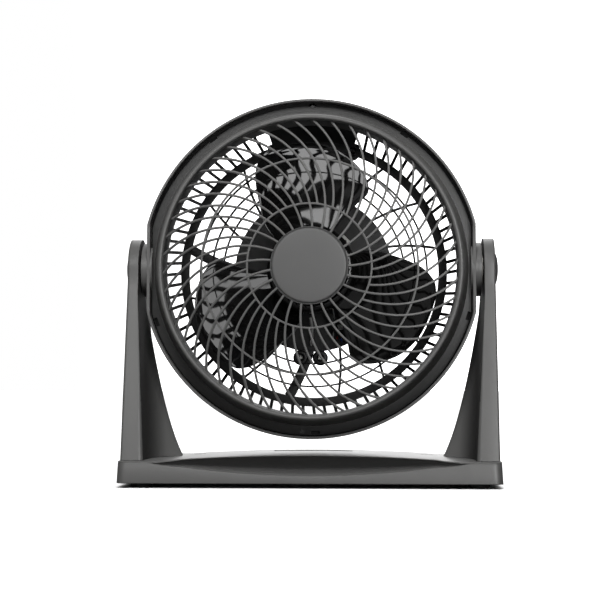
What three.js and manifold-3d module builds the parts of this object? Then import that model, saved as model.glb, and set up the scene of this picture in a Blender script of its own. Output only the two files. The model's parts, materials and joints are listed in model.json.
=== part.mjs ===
// Air circulator fan: a round head that tilts between two arms on a bar base.
//
// Millimetres, +Z up, the front faces -Y. The origin is on the floor, under the tilt axis.
// The head is modelled in its own frame: x to the right and y up as seen from the front,
// z forward along the fan axis, and zero on the tilt axis.

import * as THREE from 'three';
import { mergeVertices } from 'three/addons/utils/BufferGeometryUtils.js';
import Module from 'manifold-3d';

const wasm = await Module();
wasm.setup();

// ---------------------------------------------------------------- driving dimensions

const SEAT = 0.3;                    // gap between pieces that touch
const RIM_FACETS = 40;               // sides of the large round pieces
const RING_FACETS = 28;              // sides of the middle-sized ones
const SMALL_FACETS = 12;             // sides of shafts and bosses
const SCREW_FACETS = 6;

// Head: drum and its front lip
const HEAD_CLEARANCE = 13.5;         // from the crown of the base to the lip
const LIP_RADIUS = 152.5;
const LIP_FRONT = 25;
const LIP_WALL = 2.4;
const LIP_DEPTH = 9;
const LIP_STEP = 3;                  // the lip stands out from the drum by this
const DRUM_WALL = 3;
const DRUM_DRAFT = 1;
const DRUM_BACK = -25;
const FLAT_CUT = 5.1;                // the flats beside the arms, in from the lip
const BOSS_RADIUS = 24.5;
const BOSS_RISE = 5.6;               // boss face beyond the flat
const BOSS_ROOT = 3.4;               // how far a boss reaches into the wall

// Front grille
const FLANGE_DROP = 7;               // channel floor behind the lip
const FLANGE_THICKNESS = 2;
const CHANNEL_WIDTH = 10.1;          // from the lip to the foot of the bead
const BEAD_INSET = 16.5;             // from the lip to the bead's ridge
const BEAD_RISE = 17;                // bead ridge ahead of the lip
const MOUTH_INSET = 20.8;            // from the lip to the edge of the opening
const MOUTH_RISE = 13.5;
const MOUTH_WALL = 2;
const MOUTH_DEPTH = 5.5;
const DOME_CENTRE_RISE = 29;         // grille centre ahead of the lip
const DOME_DROP = 16.5;              // fall of the dome from its centre to the mouth
const DOME_POWER = 3.7;
const RIB_COUNT = 25;                // ribs from the hub; as many again start at the inner ring
const RIB_WIDTH = 2.2;
const RIB_DEPTH = 3.5;
const RIB_ARC_RADIUS = 82.2;
const RIB_ARC_CENTRE = 87.4;
const RIB_START_ANGLE = 3.2;         // first main rib where it crosses the inner ring
const INNER_RING_RADIUS = 54.7;
const OUTER_RING_RADIUS = 95.3;
const RING_WIDTH = 1.8;
const HUB_RADIUS = 34.4;
const HUB_CAP_RADIUS = 33;
const HUB_CAP_HEIGHT = 2.6;
const NOTCH_ANGLES = [55, 127, 199, 271.5, 343];
const NOTCH_LENGTH = 8;
const NOTCH_WIDTH = 3.6;
const FLANGE_SCREW_ANGLES = [89.3, 267];
const FLANGE_SCREW_INSET = 6.4;      // from the lip to the screws in the channel
const FLANGE_SCREW_BOSS = 3.6;
const FLANGE_SCREW_LENGTH = 9;
const FLANGE_BOSS_LENGTH = 11;

// Rear grille
const REAR_FACE = -38.5;             // front face of the rear grille
const REAR_THICKNESS = 3;
const COLLAR_WIDTH = 2.5;            // solid edge that meets the drum
const COLLAR_SETBACK = 1;            // its flats, inside the drum's
const MOTOR_PLATE_RADIUS = 73.9;
const THIN_RING_RADII = [84.9, 95.4, 106.4];
const THIN_RING_WIDTH = 1.8;
const WIDE_RING_WIDTH = 8.1;
const BASKET_DEPTH = 24.5;           // radial length of the sloping basket
const REAR_RIB_COUNT = 16;
const REAR_RIB_START = 11.25;
const REAR_RIB_TWIST = 8.3;
const REAR_RIB_WIDTH = 2.4;
const STRUT_WIDTH = 9;
const BASKET_RIB_COUNT = 72;
const BASKET_RIB_WIDTH = 2;
const BASKET_RIB_TWIST = 1.5;
const PANEL_HALF_WIDTH = 42;         // solid part of the basket under the handle
const HANDLE_HALF_WIDTH = 42;
const HANDLE_THICKNESS = 12;
const HANDLE_BAR = 7;
const HANDLE_LEG = 10;
const HANDLE_CORNER = 5;
const HANDLE_GRIP_GAP = 18;
const HANDLE_SCREW_LENGTH = 9;
const POST_ANGLES = [259.5, 273.5];
const POST_OUTSET = 3.1;             // posts beyond the motor plate's edge
const POST_RADIUS = 5;
const POST_HEIGHT = 9;

// Impeller: a blade's edges from the hub, reach 0, to the tip, reach 1. Lead and trail are
// angles from its leading side; back and front are shares of its depth.
const IMPELLER_MIDDLE = 8;
const BLADE_COUNT = 3;
const BLADE_START_ANGLE = 55;
const BLADE_TIP_RADIUS = 115;
const BLADE_DEPTH = 17;              // the deepest blade edge, behind or ahead of the middle
const BLADE_THICKNESS = 2;
const BLADE_CAMBER = 5;
const BLADE_EDGES = [
  { reach: 0, lead: 8, trail: 86, back: -0.82, front: 0.59 },
  { reach: 0.21, lead: 4, trail: 82, back: -0.94, front: 0.82 },
  { reach: 0.45, lead: 1, trail: 74, back: -1, front: 0.94 },
  { reach: 0.68, lead: 0, trail: 68, back: -0.94, front: 0.88 },
  { reach: 0.8, lead: 6, trail: 65, back: -0.82, front: 0.76 },
  { reach: 0.91, lead: 16, trail: 61, back: -0.59, front: 0.59 },
  { reach: 0.97, lead: 25, trail: 57, back: -0.35, front: 0.47 },
  { reach: 1, lead: 32, trail: 53, back: -0.12, front: 0.41 },
];
const SPINNER_RADIUS = 40;
const SPINNER_FRONT = 12;            // hub face ahead of the impeller's middle plane
const SPINNER_DEPTH = 30;
const SPINNER_WALL = 2.5;
const SLEEVE_RADIUS = 7;
const SLEEVE_LENGTH = 16;
const NUT_RADIUS = 11;
const NUT_LENGTH = 10;
const NUT_CROWN = 1.5;               // thickness of its closed end
const SHAFT_RADIUS = 3;

// Motor
const MOTOR_RADIUS = 32;
const STATOR_LENGTH = 12;
const STATOR_BORE = 17;
const STATOR_BACK = -29;
const WINDING_LENGTH = 5;
const WINDING_INNER = 19;
const WINDING_OUTER = 28;
const BRACKET_WALL = 1.5;
const BEARING_RADIUS = 7;
const BEARING_LENGTH = 6;
const RUNNING_GAP = 0.2;
const ROTOR_GAP = 0.6;
const MOTOR_EAR_CIRCLE = 40;
const MOTOR_EAR_RADIUS = 5.5;
const MOTOR_EAR_ANGLES = [45, 225];
const LEAD_RADIUS = 1;

// Rear cover, switch and knob
const COVER_RADIUS = 62;
const COVER_DEPTH = 19;
const COVER_WALL = 2;
const COVER_TAPER = 2;
const COVER_ROUND = 5;
const KNOB_OFFSET = 30;              // knob axis above the fan axis
const KNOB_RADIUS = 13;
const KNOB_HEIGHT = 8.5;
const KNOB_POINTER = 4;
const SPINDLE_RADIUS = 3;
const SWITCH_WIDTH = 26;
const SWITCH_DEPTH = 10;
const GLAND_RADIUS = 5;
const GLAND_LENGTH = 9;
const CORD_HOLE_RADIUS = 2.8;

// Stand: arms
const PIVOT_GAP = 1.5;               // from a boss to its arm, taken up by the washer
const ARM_THICKNESS = 10;
const ARM_FOOT_STRIP = 20;           // width of the front strip at the foot
const ARM_TOP_RADIUS = 28;
const ARM_FOOT_SETBACK = 11;         // from the edge of the base to the arm's foot
const ARM_TAPER_DROP = 13;           // below the pivot the arm starts to widen
const FLARE_DROP = 22;               // below the pivot the inner ridge starts
const FLARE_SPREAD = 34.6;           // ridge at the foot, in from the arm's inner face
const FLARE_BEND_SPREAD = 15.2;
const FLARE_BEND_RISE = 39;          // height of the ridge's bend over the base
const FLARE_SETBACK = 0.35;          // ridge behind the pivot, as a share of half the depth
const FLARE_POWER = 3.5;             // how sharply the inner faces turn out to the ridge
const CAP_RADIUS = 16;
const CAP_RECESS = 3;
const CAP_DOME = 4.2;
const PIVOT_HEAD_RADIUS = 9;
const PIVOT_HEAD_HEIGHT = 2.2;
const PIVOT_SHOULDER_RADIUS = 4;
const PIVOT_THREAD_RADIUS = 3;
const PIVOT_THREAD_LENGTH = 6.5;
const WASHER_RADIUS = 14;

// Stand: base
const BASE_MARGIN = 2;               // the base beyond the arms
const BASE_HALF_DEPTH = 71.5;
const BASE_DRAFT = 1;
const BASE_BOTTOM = 4;
const BASE_TOP = 23;
const BASE_ARCH = 4;
const BASE_CORNER = 8;
const BASE_WALL = 2.5;
const BASE_EDGE = 1.5;
const SCOOP_INSET = 28.5;            // from the end of the base to the scoop
const SCOOP_DROP = 15;               // height of the scoop in the middle of the base
const SCOOP_DEPTH = 14;
const SCOOP_RISE = 1;                // its floor rises to the back
const SCOOP_CURVE = [[1, 1], [0.93, 0.5], [0.6, 0.14]];  // shares of its depth and height
const PLATE_THICKNESS = 2.5;
const PLATE_MARGIN = 6;
const PLATE_RECESS = 1;
const FOOT_RADIUS = 9;
const FOOT_INSET_X = 20;
const FOOT_INSET_Y = 18;
const ARM_SCREW_INSET = 15;          // from the arm's outer face
const ARM_SCREW_Y = 32;
const ARM_SCREW_GRIP = 14;
const SCREW_RADIUS = 1.7;
const SCREW_HEAD_RADIUS = 3.3;
const SCREW_HEAD_HEIGHT = 2.4;
const SLOT_INSET = 15;               // from the arm's foot
const SLOT_Y = 30;
const SLOT_LENGTH = 11;
const SLOT_WIDTH = 5;
const SLOT_DEPTH = 1.6;
const RECESS_HALF_LENGTH = 36.5;
const RECESS_Y = 36;
const RECESS_WIDTH = 16;
const RECESS_DEPTH = 1.1;

// ---------------------------------------------------------------- worked-out places

const PIVOT_HEIGHT = BASE_TOP + BASE_ARCH + HEAD_CLEARANCE + LIP_RADIUS;
const DRUM_RADIUS = LIP_RADIUS - LIP_STEP;
const FLAT_HALF_WIDTH = LIP_RADIUS - FLAT_CUT;
const BOSS_FACE = FLAT_HALF_WIDTH + BOSS_RISE;
const CONE_RADIUS = LIP_RADIUS - CHANNEL_WIDTH;
const BEAD_RADIUS = LIP_RADIUS - BEAD_INSET;
const MOUTH_RADIUS = LIP_RADIUS - MOUTH_INSET;
const FLANGE_SCREW_RADIUS = LIP_RADIUS - FLANGE_SCREW_INSET;
const WIDE_RING_OUTER = DRUM_RADIUS - BASKET_DEPTH;
const WIDE_RING_INNER = WIDE_RING_OUTER - WIDE_RING_WIDTH;
const HANDLE_LEG_X = HANDLE_HALF_WIDTH - HANDLE_LEG / 2;
const HANDLE_HEIGHT = Math.sqrt((WIDE_RING_OUTER - WIDE_RING_WIDTH / 2) ** 2 - HANDLE_LEG_X ** 2);
const POST_CIRCLE = MOTOR_PLATE_RADIUS + POST_OUTSET;
const ARM_INNER = BOSS_FACE + PIVOT_GAP;
const ARM_OUTER = ARM_INNER + ARM_THICKNESS;
const ARM_TAPER_TOP = PIVOT_HEIGHT - ARM_TAPER_DROP;
const ARM_SCREW_X = ARM_OUTER - ARM_SCREW_INSET;
const FLARE_TOP = PIVOT_HEIGHT - FLARE_DROP;
const FLARE_FOOT_X = ARM_INNER - FLARE_SPREAD;
const FLARE_BEND_X = ARM_INNER - FLARE_BEND_SPREAD;
const FLARE_BEND_Z = BASE_TOP + FLARE_BEND_RISE;
const BASE_HALF_LENGTH = ARM_OUTER + BASE_MARGIN;
const ARM_FOOT_HALF_DEPTH = BASE_HALF_DEPTH - ARM_FOOT_SETBACK;
const SCOOP_HALF_LENGTH = BASE_HALF_LENGTH - SCOOP_INSET;
const SLOT_X = FLARE_FOOT_X - SLOT_INSET;
const FLANGE_TOP = LIP_FRONT - FLANGE_DROP;
const FLANGE_BOTTOM = FLANGE_TOP - FLANGE_THICKNESS;
const LEDGE = FLANGE_BOTTOM - SEAT;
const LIP_INNER = LIP_RADIUS - LIP_WALL;
const FLANGE_RADIUS = LIP_INNER - 0.5;
const DRUM_BORE = DRUM_RADIUS - DRUM_WALL;
const BEAD_TOP = LIP_FRONT + BEAD_RISE;
const MOUTH_FRONT = LIP_FRONT + MOUTH_RISE;
const DOME_TOP = LIP_FRONT + DOME_CENTRE_RISE;
const REAR_BACK = REAR_FACE - REAR_THICKNESS;
const COLLAR_RADIUS = DRUM_RADIUS - DRUM_DRAFT;
const COLLAR_FRONT = DRUM_BACK - SEAT;
const SPINNER_TOP = IMPELLER_MIDDLE + SPINNER_FRONT;
const STATOR_FRONT = STATOR_BACK + STATOR_LENGTH;
const MOTOR_BACK = REAR_FACE + SEAT;
const MOTOR_FRONT = STATOR_FRONT + WINDING_LENGTH + 2 * SEAT + BRACKET_WALL;
const COVER_FRONT = REAR_BACK - SEAT;
const COVER_BACK = COVER_FRONT - COVER_DEPTH;
const PLATE_BOTTOM = BASE_BOTTOM + PLATE_RECESS;
const PLATE_TOP = PLATE_BOTTOM + PLATE_THICKNESS;
const GLAND_DEPTH = COVER_BACK + COVER_DEPTH / 2;
const ARM_FOOT = BASE_TOP + SEAT;
const ARCH_HALF_LENGTH = FLARE_FOOT_X - 3;

const turn = THREE.MathUtils.degToRad;

// ---------------------------------------------------------------- shape helpers

// A closed geometry as a solid whose faces point out.
function solid(geometry) {
  const bare = new THREE.BufferGeometry();
  bare.setAttribute('position', geometry.getAttribute('position'));
  bare.setIndex(geometry.index);
  const merged = mergeVertices(bare, 1e-4);
  const place = merged.getAttribute('position').array;
  const corner = merged.index.array;
  const faces = [];
  let volume = 0;
  for (let i = 0; i < corner.length; i += 3) {
    const [a, b, c] = [corner[i], corner[i + 1], corner[i + 2]];
    if (a === b || b === c || c === a) continue;
    faces.push(a, b, c);
    const [p, q, r] = [a, b, c].map((n) => new THREE.Vector3().fromArray(place, 3 * n));
    volume += p.dot(q.cross(r));
  }
  if (volume < 0) faces.reverse();
  return new wasm.Manifold(new wasm.Mesh({
    numProp: 3,
    vertProperties: Float32Array.from(place),
    triVerts: Uint32Array.from(faces),
  }));
}

function surface(body) {
  const mesh = body.getMesh();
  const geometry = new THREE.BufferGeometry();
  geometry.setAttribute('position', new THREE.BufferAttribute(mesh.vertProperties, 3));
  geometry.setIndex(new THREE.BufferAttribute(mesh.triVerts, 1));
  geometry.computeVertexNormals();
  return geometry;
}

function union(bodies) {
  return bodies.reduce((whole, body) => whole.add(body));
}

// A profile of [radius, height] points turned about the z axis.
function revolve(profile, facets) {
  const points = profile.map(([radius, height]) => new THREE.Vector2(radius, height));
  const last = profile[profile.length - 1];
  const closes = profile[0][0] > 0 || last[0] > 0;
  if (closes) points.push(points[0].clone());
  return new THREE.LatheGeometry(points, facets).rotateX(Math.PI / 2);
}

function disc(radius, low, high, facets) {
  return revolve([[0, low], [radius, low], [radius, high], [0, high]], facets);
}

function ring(inner, outer, low, high, facets) {
  return revolve([[inner, low], [outer, low], [outer, high], [inner, high]], facets);
}

function box(x0, x1, y0, y1, z0, z1) {
  const geometry = new THREE.BoxGeometry(x1 - x0, y1 - y0, z1 - z0);
  return geometry.translate((x0 + x1) / 2, (y0 + y1) / 2, (z0 + z1) / 2);
}

function extrude(points, depth) {
  const shape = new THREE.Shape(points.map(([x, y]) => new THREE.Vector2(x, y)));
  return new THREE.ExtrudeGeometry(shape, { depth, bevelEnabled: false });
}

// A skin through rings of equal count. Point i of each ring lies across from its
// mirror point, counted from the other end, so the two end caps are ladders.
function loft(rings) {
  const count = rings[0].length;
  const place = rings.flat(2);
  const index = [];
  for (let k = 0; k + 1 < rings.length; k += 1) {
    for (let i = 0; i < count; i += 1) {
      const a = k * count + i;
      const b = k * count + ((i + 1) % count);
      index.push(a, b, b + count, a, b + count, a + count);
    }
  }
  const end = (rings.length - 1) * count;
  for (let i = 0; i + 1 < count / 2; i += 1) {
    const [a, b, c, d] = [i, i + 1, count - 2 - i, count - 1 - i];
    index.push(a, c, b, a, d, c);
    index.push(end + a, end + b, end + c, end + a, end + c, end + d);
  }
  const geometry = new THREE.BufferGeometry();
  geometry.setAttribute('position', new THREE.Float32BufferAttribute(place, 3));
  geometry.setIndex(index);
  return geometry;
}

function polar(radius, degrees) {
  return [radius * Math.cos(turn(degrees)), radius * Math.sin(turn(degrees))];
}

// Turns a shape made along z to point along x, for the pivots.
function alongX(geometry, side) {
  return geometry.rotateY(side * Math.PI / 2);
}

// Halves of the head beyond the two flats are cut away at a given half width.
function betweenFlats(body, halfWidth) {
  const reach = 2 * LIP_RADIUS;
  return body.intersect(solid(box(-halfWidth, halfWidth, -reach, reach, -reach, reach)));
}

// ---------------------------------------------------------------- materials and scene

const plastic = (name, color, roughness) => new THREE.MeshStandardMaterial({
  name, color, roughness, metalness: 0,
});
const metal = (name, color, roughness) => new THREE.MeshStandardMaterial({
  name, color, roughness, metalness: 1,
});
const GREY = plastic('grey_plastic', 0x4b4b4a, 0.5);
const CAP_GREY = plastic('cap_grey', 0x5a5a5a, 0.45);
const BLACK = plastic('black_plastic', 0x161616, 0.45);
const GLOSS = plastic('gloss_black', 0x0c0c0c, 0.15);
const RUBBER = plastic('rubber', 0x101010, 0.9);
const STEEL = metal('steel', 0x9a9a9a, 0.35);
const ZINC = metal('zinc_steel', 0xb4b4b0, 0.3);
const COPPER = metal('copper', 0xa86432, 0.4);
const BRONZE = metal('bronze', 0x8a6a3c, 0.45);
const RED = plastic('red_lead', 0xa02018, 0.5);
const BLUE = plastic('blue_lead', 0x1e3c8c, 0.5);

const fan = new THREE.Group();
const head = new THREE.Group();
head.rotation.x = Math.PI / 2;
head.position.z = PIVOT_HEIGHT;
fan.add(head);

function place(group, name, geometry, material) {
  const mesh = new THREE.Mesh(geometry, material);
  mesh.name = name;
  group.add(mesh);
}

// A screw whose head sits at z = 0 and whose shank runs down from there.
function screw(length, facets = SCREW_FACETS, radius = SCREW_RADIUS) {
  return revolve([
    [0, -length],
    [radius, -length],
    [radius, 0],
    [SCREW_HEAD_RADIUS, 0],
    [SCREW_HEAD_RADIUS * 0.8, SCREW_HEAD_HEIGHT],
    [0, SCREW_HEAD_HEIGHT],
  ], facets);
}

// ---------------------------------------------------------------- base

function scoopShare(x) {
  return Math.max(0, 1 - (x / SCOOP_HALF_LENGTH) ** 2);
}

function baseTop(x) {
  return BASE_TOP + BASE_ARCH * Math.max(0, 1 - (x / ARCH_HALF_LENGTH) ** 2);
}

// One slice of the base across x, with the scoop under the front edge of its top.
function baseSlice(x, halfDepth) {
  const top = baseTop(x);
  const share = scoopShare(x);
  const front = -halfDepth;
  const points = [[front, BASE_BOTTOM], [front, top - BASE_EDGE - SCOOP_DROP * share]];
  for (const [depth, height] of SCOOP_CURVE) {
    const drop = (SCOOP_DROP - SCOOP_RISE) * share * height;
    points.push([front + SCOOP_DEPTH * share * depth, top - BASE_EDGE - drop]);
  }
  points.push([front, top - BASE_EDGE]);
  points.push([front + BASE_EDGE, top]);
  points.push([halfDepth - 2 * BASE_EDGE, top]);
  points.push([halfDepth - BASE_EDGE, top - 0.3 * BASE_EDGE]);
  points.push([halfDepth - 0.3 * BASE_EDGE, top - BASE_EDGE]);
  points.push([halfDepth, top - 2 * BASE_EDGE]);
  points.push([halfDepth, BASE_BOTTOM]);
  const draft = BASE_DRAFT / (BASE_TOP - BASE_BOTTOM);
  return points.map(([y, z]) => {
    const lift = z - BASE_BOTTOM;
    return [
      x * (1 - draft * lift / BASE_HALF_LENGTH),
      y * (1 - draft * lift / BASE_HALF_DEPTH),
      z,
    ];
  });
}

function baseStations() {
  const stations = [];
  for (const angle of [90, 55, 25, 0]) {
    stations.push({
      x: BASE_HALF_LENGTH - BASE_CORNER + BASE_CORNER * Math.sin(turn(angle)),
      halfDepth: BASE_HALF_DEPTH - BASE_CORNER + BASE_CORNER * Math.cos(turn(angle)),
    });
  }
  stations.push({ x: SCOOP_HALF_LENGTH, halfDepth: BASE_HALF_DEPTH });
  for (const share of [1, 0.7, 0.35]) {
    stations.push({ x: ARCH_HALF_LENGTH * share, halfDepth: BASE_HALF_DEPTH });
  }
  const mirrored = stations.map(({ x, halfDepth }) => ({ x: -x, halfDepth })).reverse();
  return [...stations, { x: 0, halfDepth: BASE_HALF_DEPTH }, ...mirrored];
}

function baseHollow() {
  const reach = BASE_HALF_LENGTH - BASE_WALL - BASE_DRAFT;
  const back = BASE_HALF_DEPTH - BASE_WALL - BASE_DRAFT;
  const places = [0.8, 0.4, 0, -0.4, -0.8].map((share) => share * ARCH_HALF_LENGTH);
  const rings = [reach, ...places, -reach].map((x) => {
    const front = -back + BASE_EDGE + SCOOP_DEPTH * scoopShare(x);
    const top = baseTop(x) - BASE_WALL;
    return [[x, front, BASE_BOTTOM - 1], [x, front, top], [x, back, top], [x, back, BASE_BOTTOM - 1]];
  });
  return solid(loft(rings));
}

const corners = [[1, -1], [-1, -1], [1, 1], [-1, 1]];

function baseShell() {
  let body = solid(loft(baseStations().map(({ x, halfDepth }) => baseSlice(x, halfDepth))));
  body = body.subtract(baseHollow());
  const plateX = BASE_HALF_LENGTH - PLATE_MARGIN;
  const plateY = BASE_HALF_DEPTH - PLATE_MARGIN;
  const rebate = box(-plateX, plateX, -plateY, plateY, 0, PLATE_TOP + SEAT);
  body = body.subtract(solid(rebate));
  for (const [sx, sy] of corners) {
    const armHole = disc(SCREW_RADIUS + SEAT, BASE_BOTTOM, BASE_TOP + 1, SCREW_FACETS);
    body = body.subtract(solid(armHole.translate(sx * ARM_SCREW_X, sy * ARM_SCREW_Y, 0)));
  }
  const recessFloor = baseTop(RECESS_HALF_LENGTH) - RECESS_DEPTH;
  body = body.subtract(solid(box(
    -RECESS_HALF_LENGTH, RECESS_HALF_LENGTH,
    RECESS_Y - RECESS_WIDTH / 2, RECESS_Y + RECESS_WIDTH / 2,
    recessFloor, recessFloor + 2 * BASE_ARCH,
  )));
  for (const side of [-1, 1]) {
    const floor = baseTop(SLOT_X) - SLOT_DEPTH;
    const x = side * SLOT_X;
    body = body.subtract(solid(box(
      x - SLOT_LENGTH / 2, x + SLOT_LENGTH / 2,
      SLOT_Y - SLOT_WIDTH / 2, SLOT_Y + SLOT_WIDTH / 2,
      floor, floor + 2 * BASE_ARCH,
    )));
  }
  return body;
}

function underplate() {
  const x = BASE_HALF_LENGTH - PLATE_MARGIN - SEAT;
  const y = BASE_HALF_DEPTH - PLATE_MARGIN - SEAT;
  return box(-x, x, -y, y, PLATE_BOTTOM, PLATE_TOP);
}

function foot() {
  const top = PLATE_BOTTOM - SEAT;
  return revolve([
    [0, 0], [FOOT_RADIUS - 1, 0], [FOOT_RADIUS, 1], [FOOT_RADIUS, top], [0, top],
  ], SMALL_FACETS);
}

place(fan, 'base_shell', surface(baseShell()), GREY);
place(fan, 'base_underplate', underplate(), BLACK);
corners.forEach(([sx, sy], i) => {
  const footX = sx * (BASE_HALF_LENGTH - FOOT_INSET_X);
  const footY = sy * (BASE_HALF_DEPTH - FOOT_INSET_Y);
  place(fan, `foot_${i + 1}`, foot().translate(footX, footY, 0), RUBBER);

  const grip = BASE_WALL + SEAT + ARM_SCREW_GRIP;
  const armScrew = screw(grip).rotateX(Math.PI);
  armScrew.translate(sx * ARM_SCREW_X, sy * ARM_SCREW_Y, BASE_TOP - BASE_WALL - SEAT);
  place(fan, `arm_screw_${i + 1}`, armScrew, ZINC);
});

// ---------------------------------------------------------------- arms

// A strip in front and behind, and between them hollow sweeps to a ridge.
function armSlice(z, halfDepth, ridge) {
  const lift = Math.max(0, (FLARE_TOP - z) / (FLARE_TOP - BASE_TOP));
  const topStrip = ARM_OUTER - ARM_INNER;
  const strip = topStrip + (ARM_FOOT_STRIP - topStrip) * lift;
  const edge = Math.min(1.5, halfDepth / 3);
  const inner = ARM_OUTER - strip;
  const ridgeY = FLARE_SETBACK * halfDepth;
  const half = (side) => {
    const end = side * halfDepth;
    const points = [[ARM_OUTER, end - side * edge], [ARM_OUTER - edge, end], [inner, end]];
    for (const share of [0.6, 0.35, 0.18, 0.07]) {
      const sweep = 1 - (1 - share) ** FLARE_POWER;
      points.push([ridge + (inner - ridge) * sweep, ridgeY + (end - ridgeY) * share]);
    }
    return points;
  };
  return [...half(-1), ...half(1).reverse()].map(([x, y]) => [x, y, z]);
}

function armHalfDepth(z) {
  const share = Math.max(0, (ARM_TAPER_TOP - z) / (ARM_TAPER_TOP - BASE_TOP));
  return ARM_TOP_RADIUS + (ARM_FOOT_HALF_DEPTH - ARM_TOP_RADIUS) * share;
}

function armBody() {
  const slices = [];
  for (const t of [0, 0.15, 0.32, 0.5, 0.7, 1]) {
    const bend = 2 * t * (1 - t);
    const z = (1 - t) ** 2 * ARM_FOOT + bend * FLARE_BEND_Z + t ** 2 * FLARE_TOP;
    const ridge = (1 - t) ** 2 * FLARE_FOOT_X + bend * FLARE_BEND_X + t ** 2 * ARM_INNER;
    slices.push(armSlice(z, armHalfDepth(z), ridge));
  }
  slices.push(armSlice(ARM_TAPER_TOP, ARM_TOP_RADIUS, ARM_INNER));
  for (const angle of [0, 24, 46, 66, 84]) {
    const z = PIVOT_HEIGHT + ARM_TOP_RADIUS * Math.sin(turn(angle));
    slices.push(armSlice(z, ARM_TOP_RADIUS * Math.cos(turn(angle)), ARM_INNER));
  }
  return solid(loft(slices));
}

// Radius of a faceted bore in which a faceted shaft of the given radius turns freely.
function turningBore(radius, facets) {
  return (radius + SEAT) / Math.cos(Math.PI / facets);
}

// Stepped pivot bore from the outer face: cap recess, screw head, shoulder.
function pivotCut() {
  const capFloor = ARM_OUTER - CAP_RECESS;
  const headFloor = capFloor - PIVOT_HEAD_HEIGHT - 2 * SEAT;
  const headBore = turningBore(PIVOT_HEAD_RADIUS, SMALL_FACETS);
  const shoulderBore = turningBore(PIVOT_SHOULDER_RADIUS, SMALL_FACETS);
  return union([
    solid(disc(CAP_RADIUS + SEAT, capFloor, ARM_OUTER + 1, RING_FACETS / 2)),
    solid(disc(headBore, headFloor, capFloor + 1, SMALL_FACETS)),
    solid(disc(shoulderBore, ARM_INNER - 1, headFloor + 1, SMALL_FACETS)),
  ]);
}

function arm(side) {
  let body = armBody();
  body = body.subtract(solid(alongX(surface(pivotCut()), 1).translate(0, 0, PIVOT_HEIGHT)));
  for (const y of [-ARM_SCREW_Y, ARM_SCREW_Y]) {
    const bore = disc(SCREW_RADIUS + SEAT, BASE_TOP - 1, ARM_FOOT + ARM_SCREW_GRIP + 1, SCREW_FACETS);
    body = body.subtract(solid(bore.translate(ARM_SCREW_X, y, 0)));
  }
  const shape = surface(body);
  return side > 0 ? shape : shape.rotateZ(Math.PI);
}

function pivotScrew() {
  const seat = ARM_OUTER - CAP_RECESS - PIVOT_HEAD_HEIGHT - SEAT;
  const shoulder = BOSS_FACE + SEAT;
  const tip = shoulder - PIVOT_THREAD_LENGTH;
  return revolve([
    [0, tip],
    [PIVOT_THREAD_RADIUS, tip],
    [PIVOT_THREAD_RADIUS, shoulder],
    [PIVOT_SHOULDER_RADIUS, shoulder],
    [PIVOT_SHOULDER_RADIUS, seat],
    [PIVOT_HEAD_RADIUS, seat],
    [PIVOT_HEAD_RADIUS, seat + PIVOT_HEAD_HEIGHT],
    [0, seat + PIVOT_HEAD_HEIGHT],
  ], SMALL_FACETS);
}

function pivotCap() {
  const floor = ARM_OUTER - CAP_RECESS + SEAT;
  const profile = [[0, floor], [CAP_RADIUS, floor], [CAP_RADIUS, ARM_OUTER]];
  for (const angle of [30, 60]) {
    const reach = CAP_RADIUS * Math.cos(turn(angle));
    profile.push([reach, ARM_OUTER + CAP_DOME * Math.sin(turn(angle))]);
  }
  profile.push([0, ARM_OUTER + CAP_DOME]);
  return revolve(profile, RING_FACETS / 2);
}

function pivotWasher() {
  const [low, high] = [BOSS_FACE + SEAT, ARM_INNER - SEAT];
  const bore = turningBore(PIVOT_SHOULDER_RADIUS, SMALL_FACETS);
  return ring(bore, WASHER_RADIUS, low, high, SMALL_FACETS);
}

for (const [name, side] of [['right', 1], ['left', -1]]) {
  const onAxis = (geometry) => alongX(geometry, side).translate(0, 0, PIVOT_HEIGHT);
  place(fan, `arm_${name}`, arm(side), GREY);
  place(fan, `pivot_cap_${name}`, onAxis(pivotCap()), GREY);
  place(fan, `pivot_washer_${name}`, onAxis(pivotWasher()), BLACK);
  place(fan, `pivot_screw_${name}`, onAxis(pivotScrew()), ZINC);
}

// ---------------------------------------------------------------- drum

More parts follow.
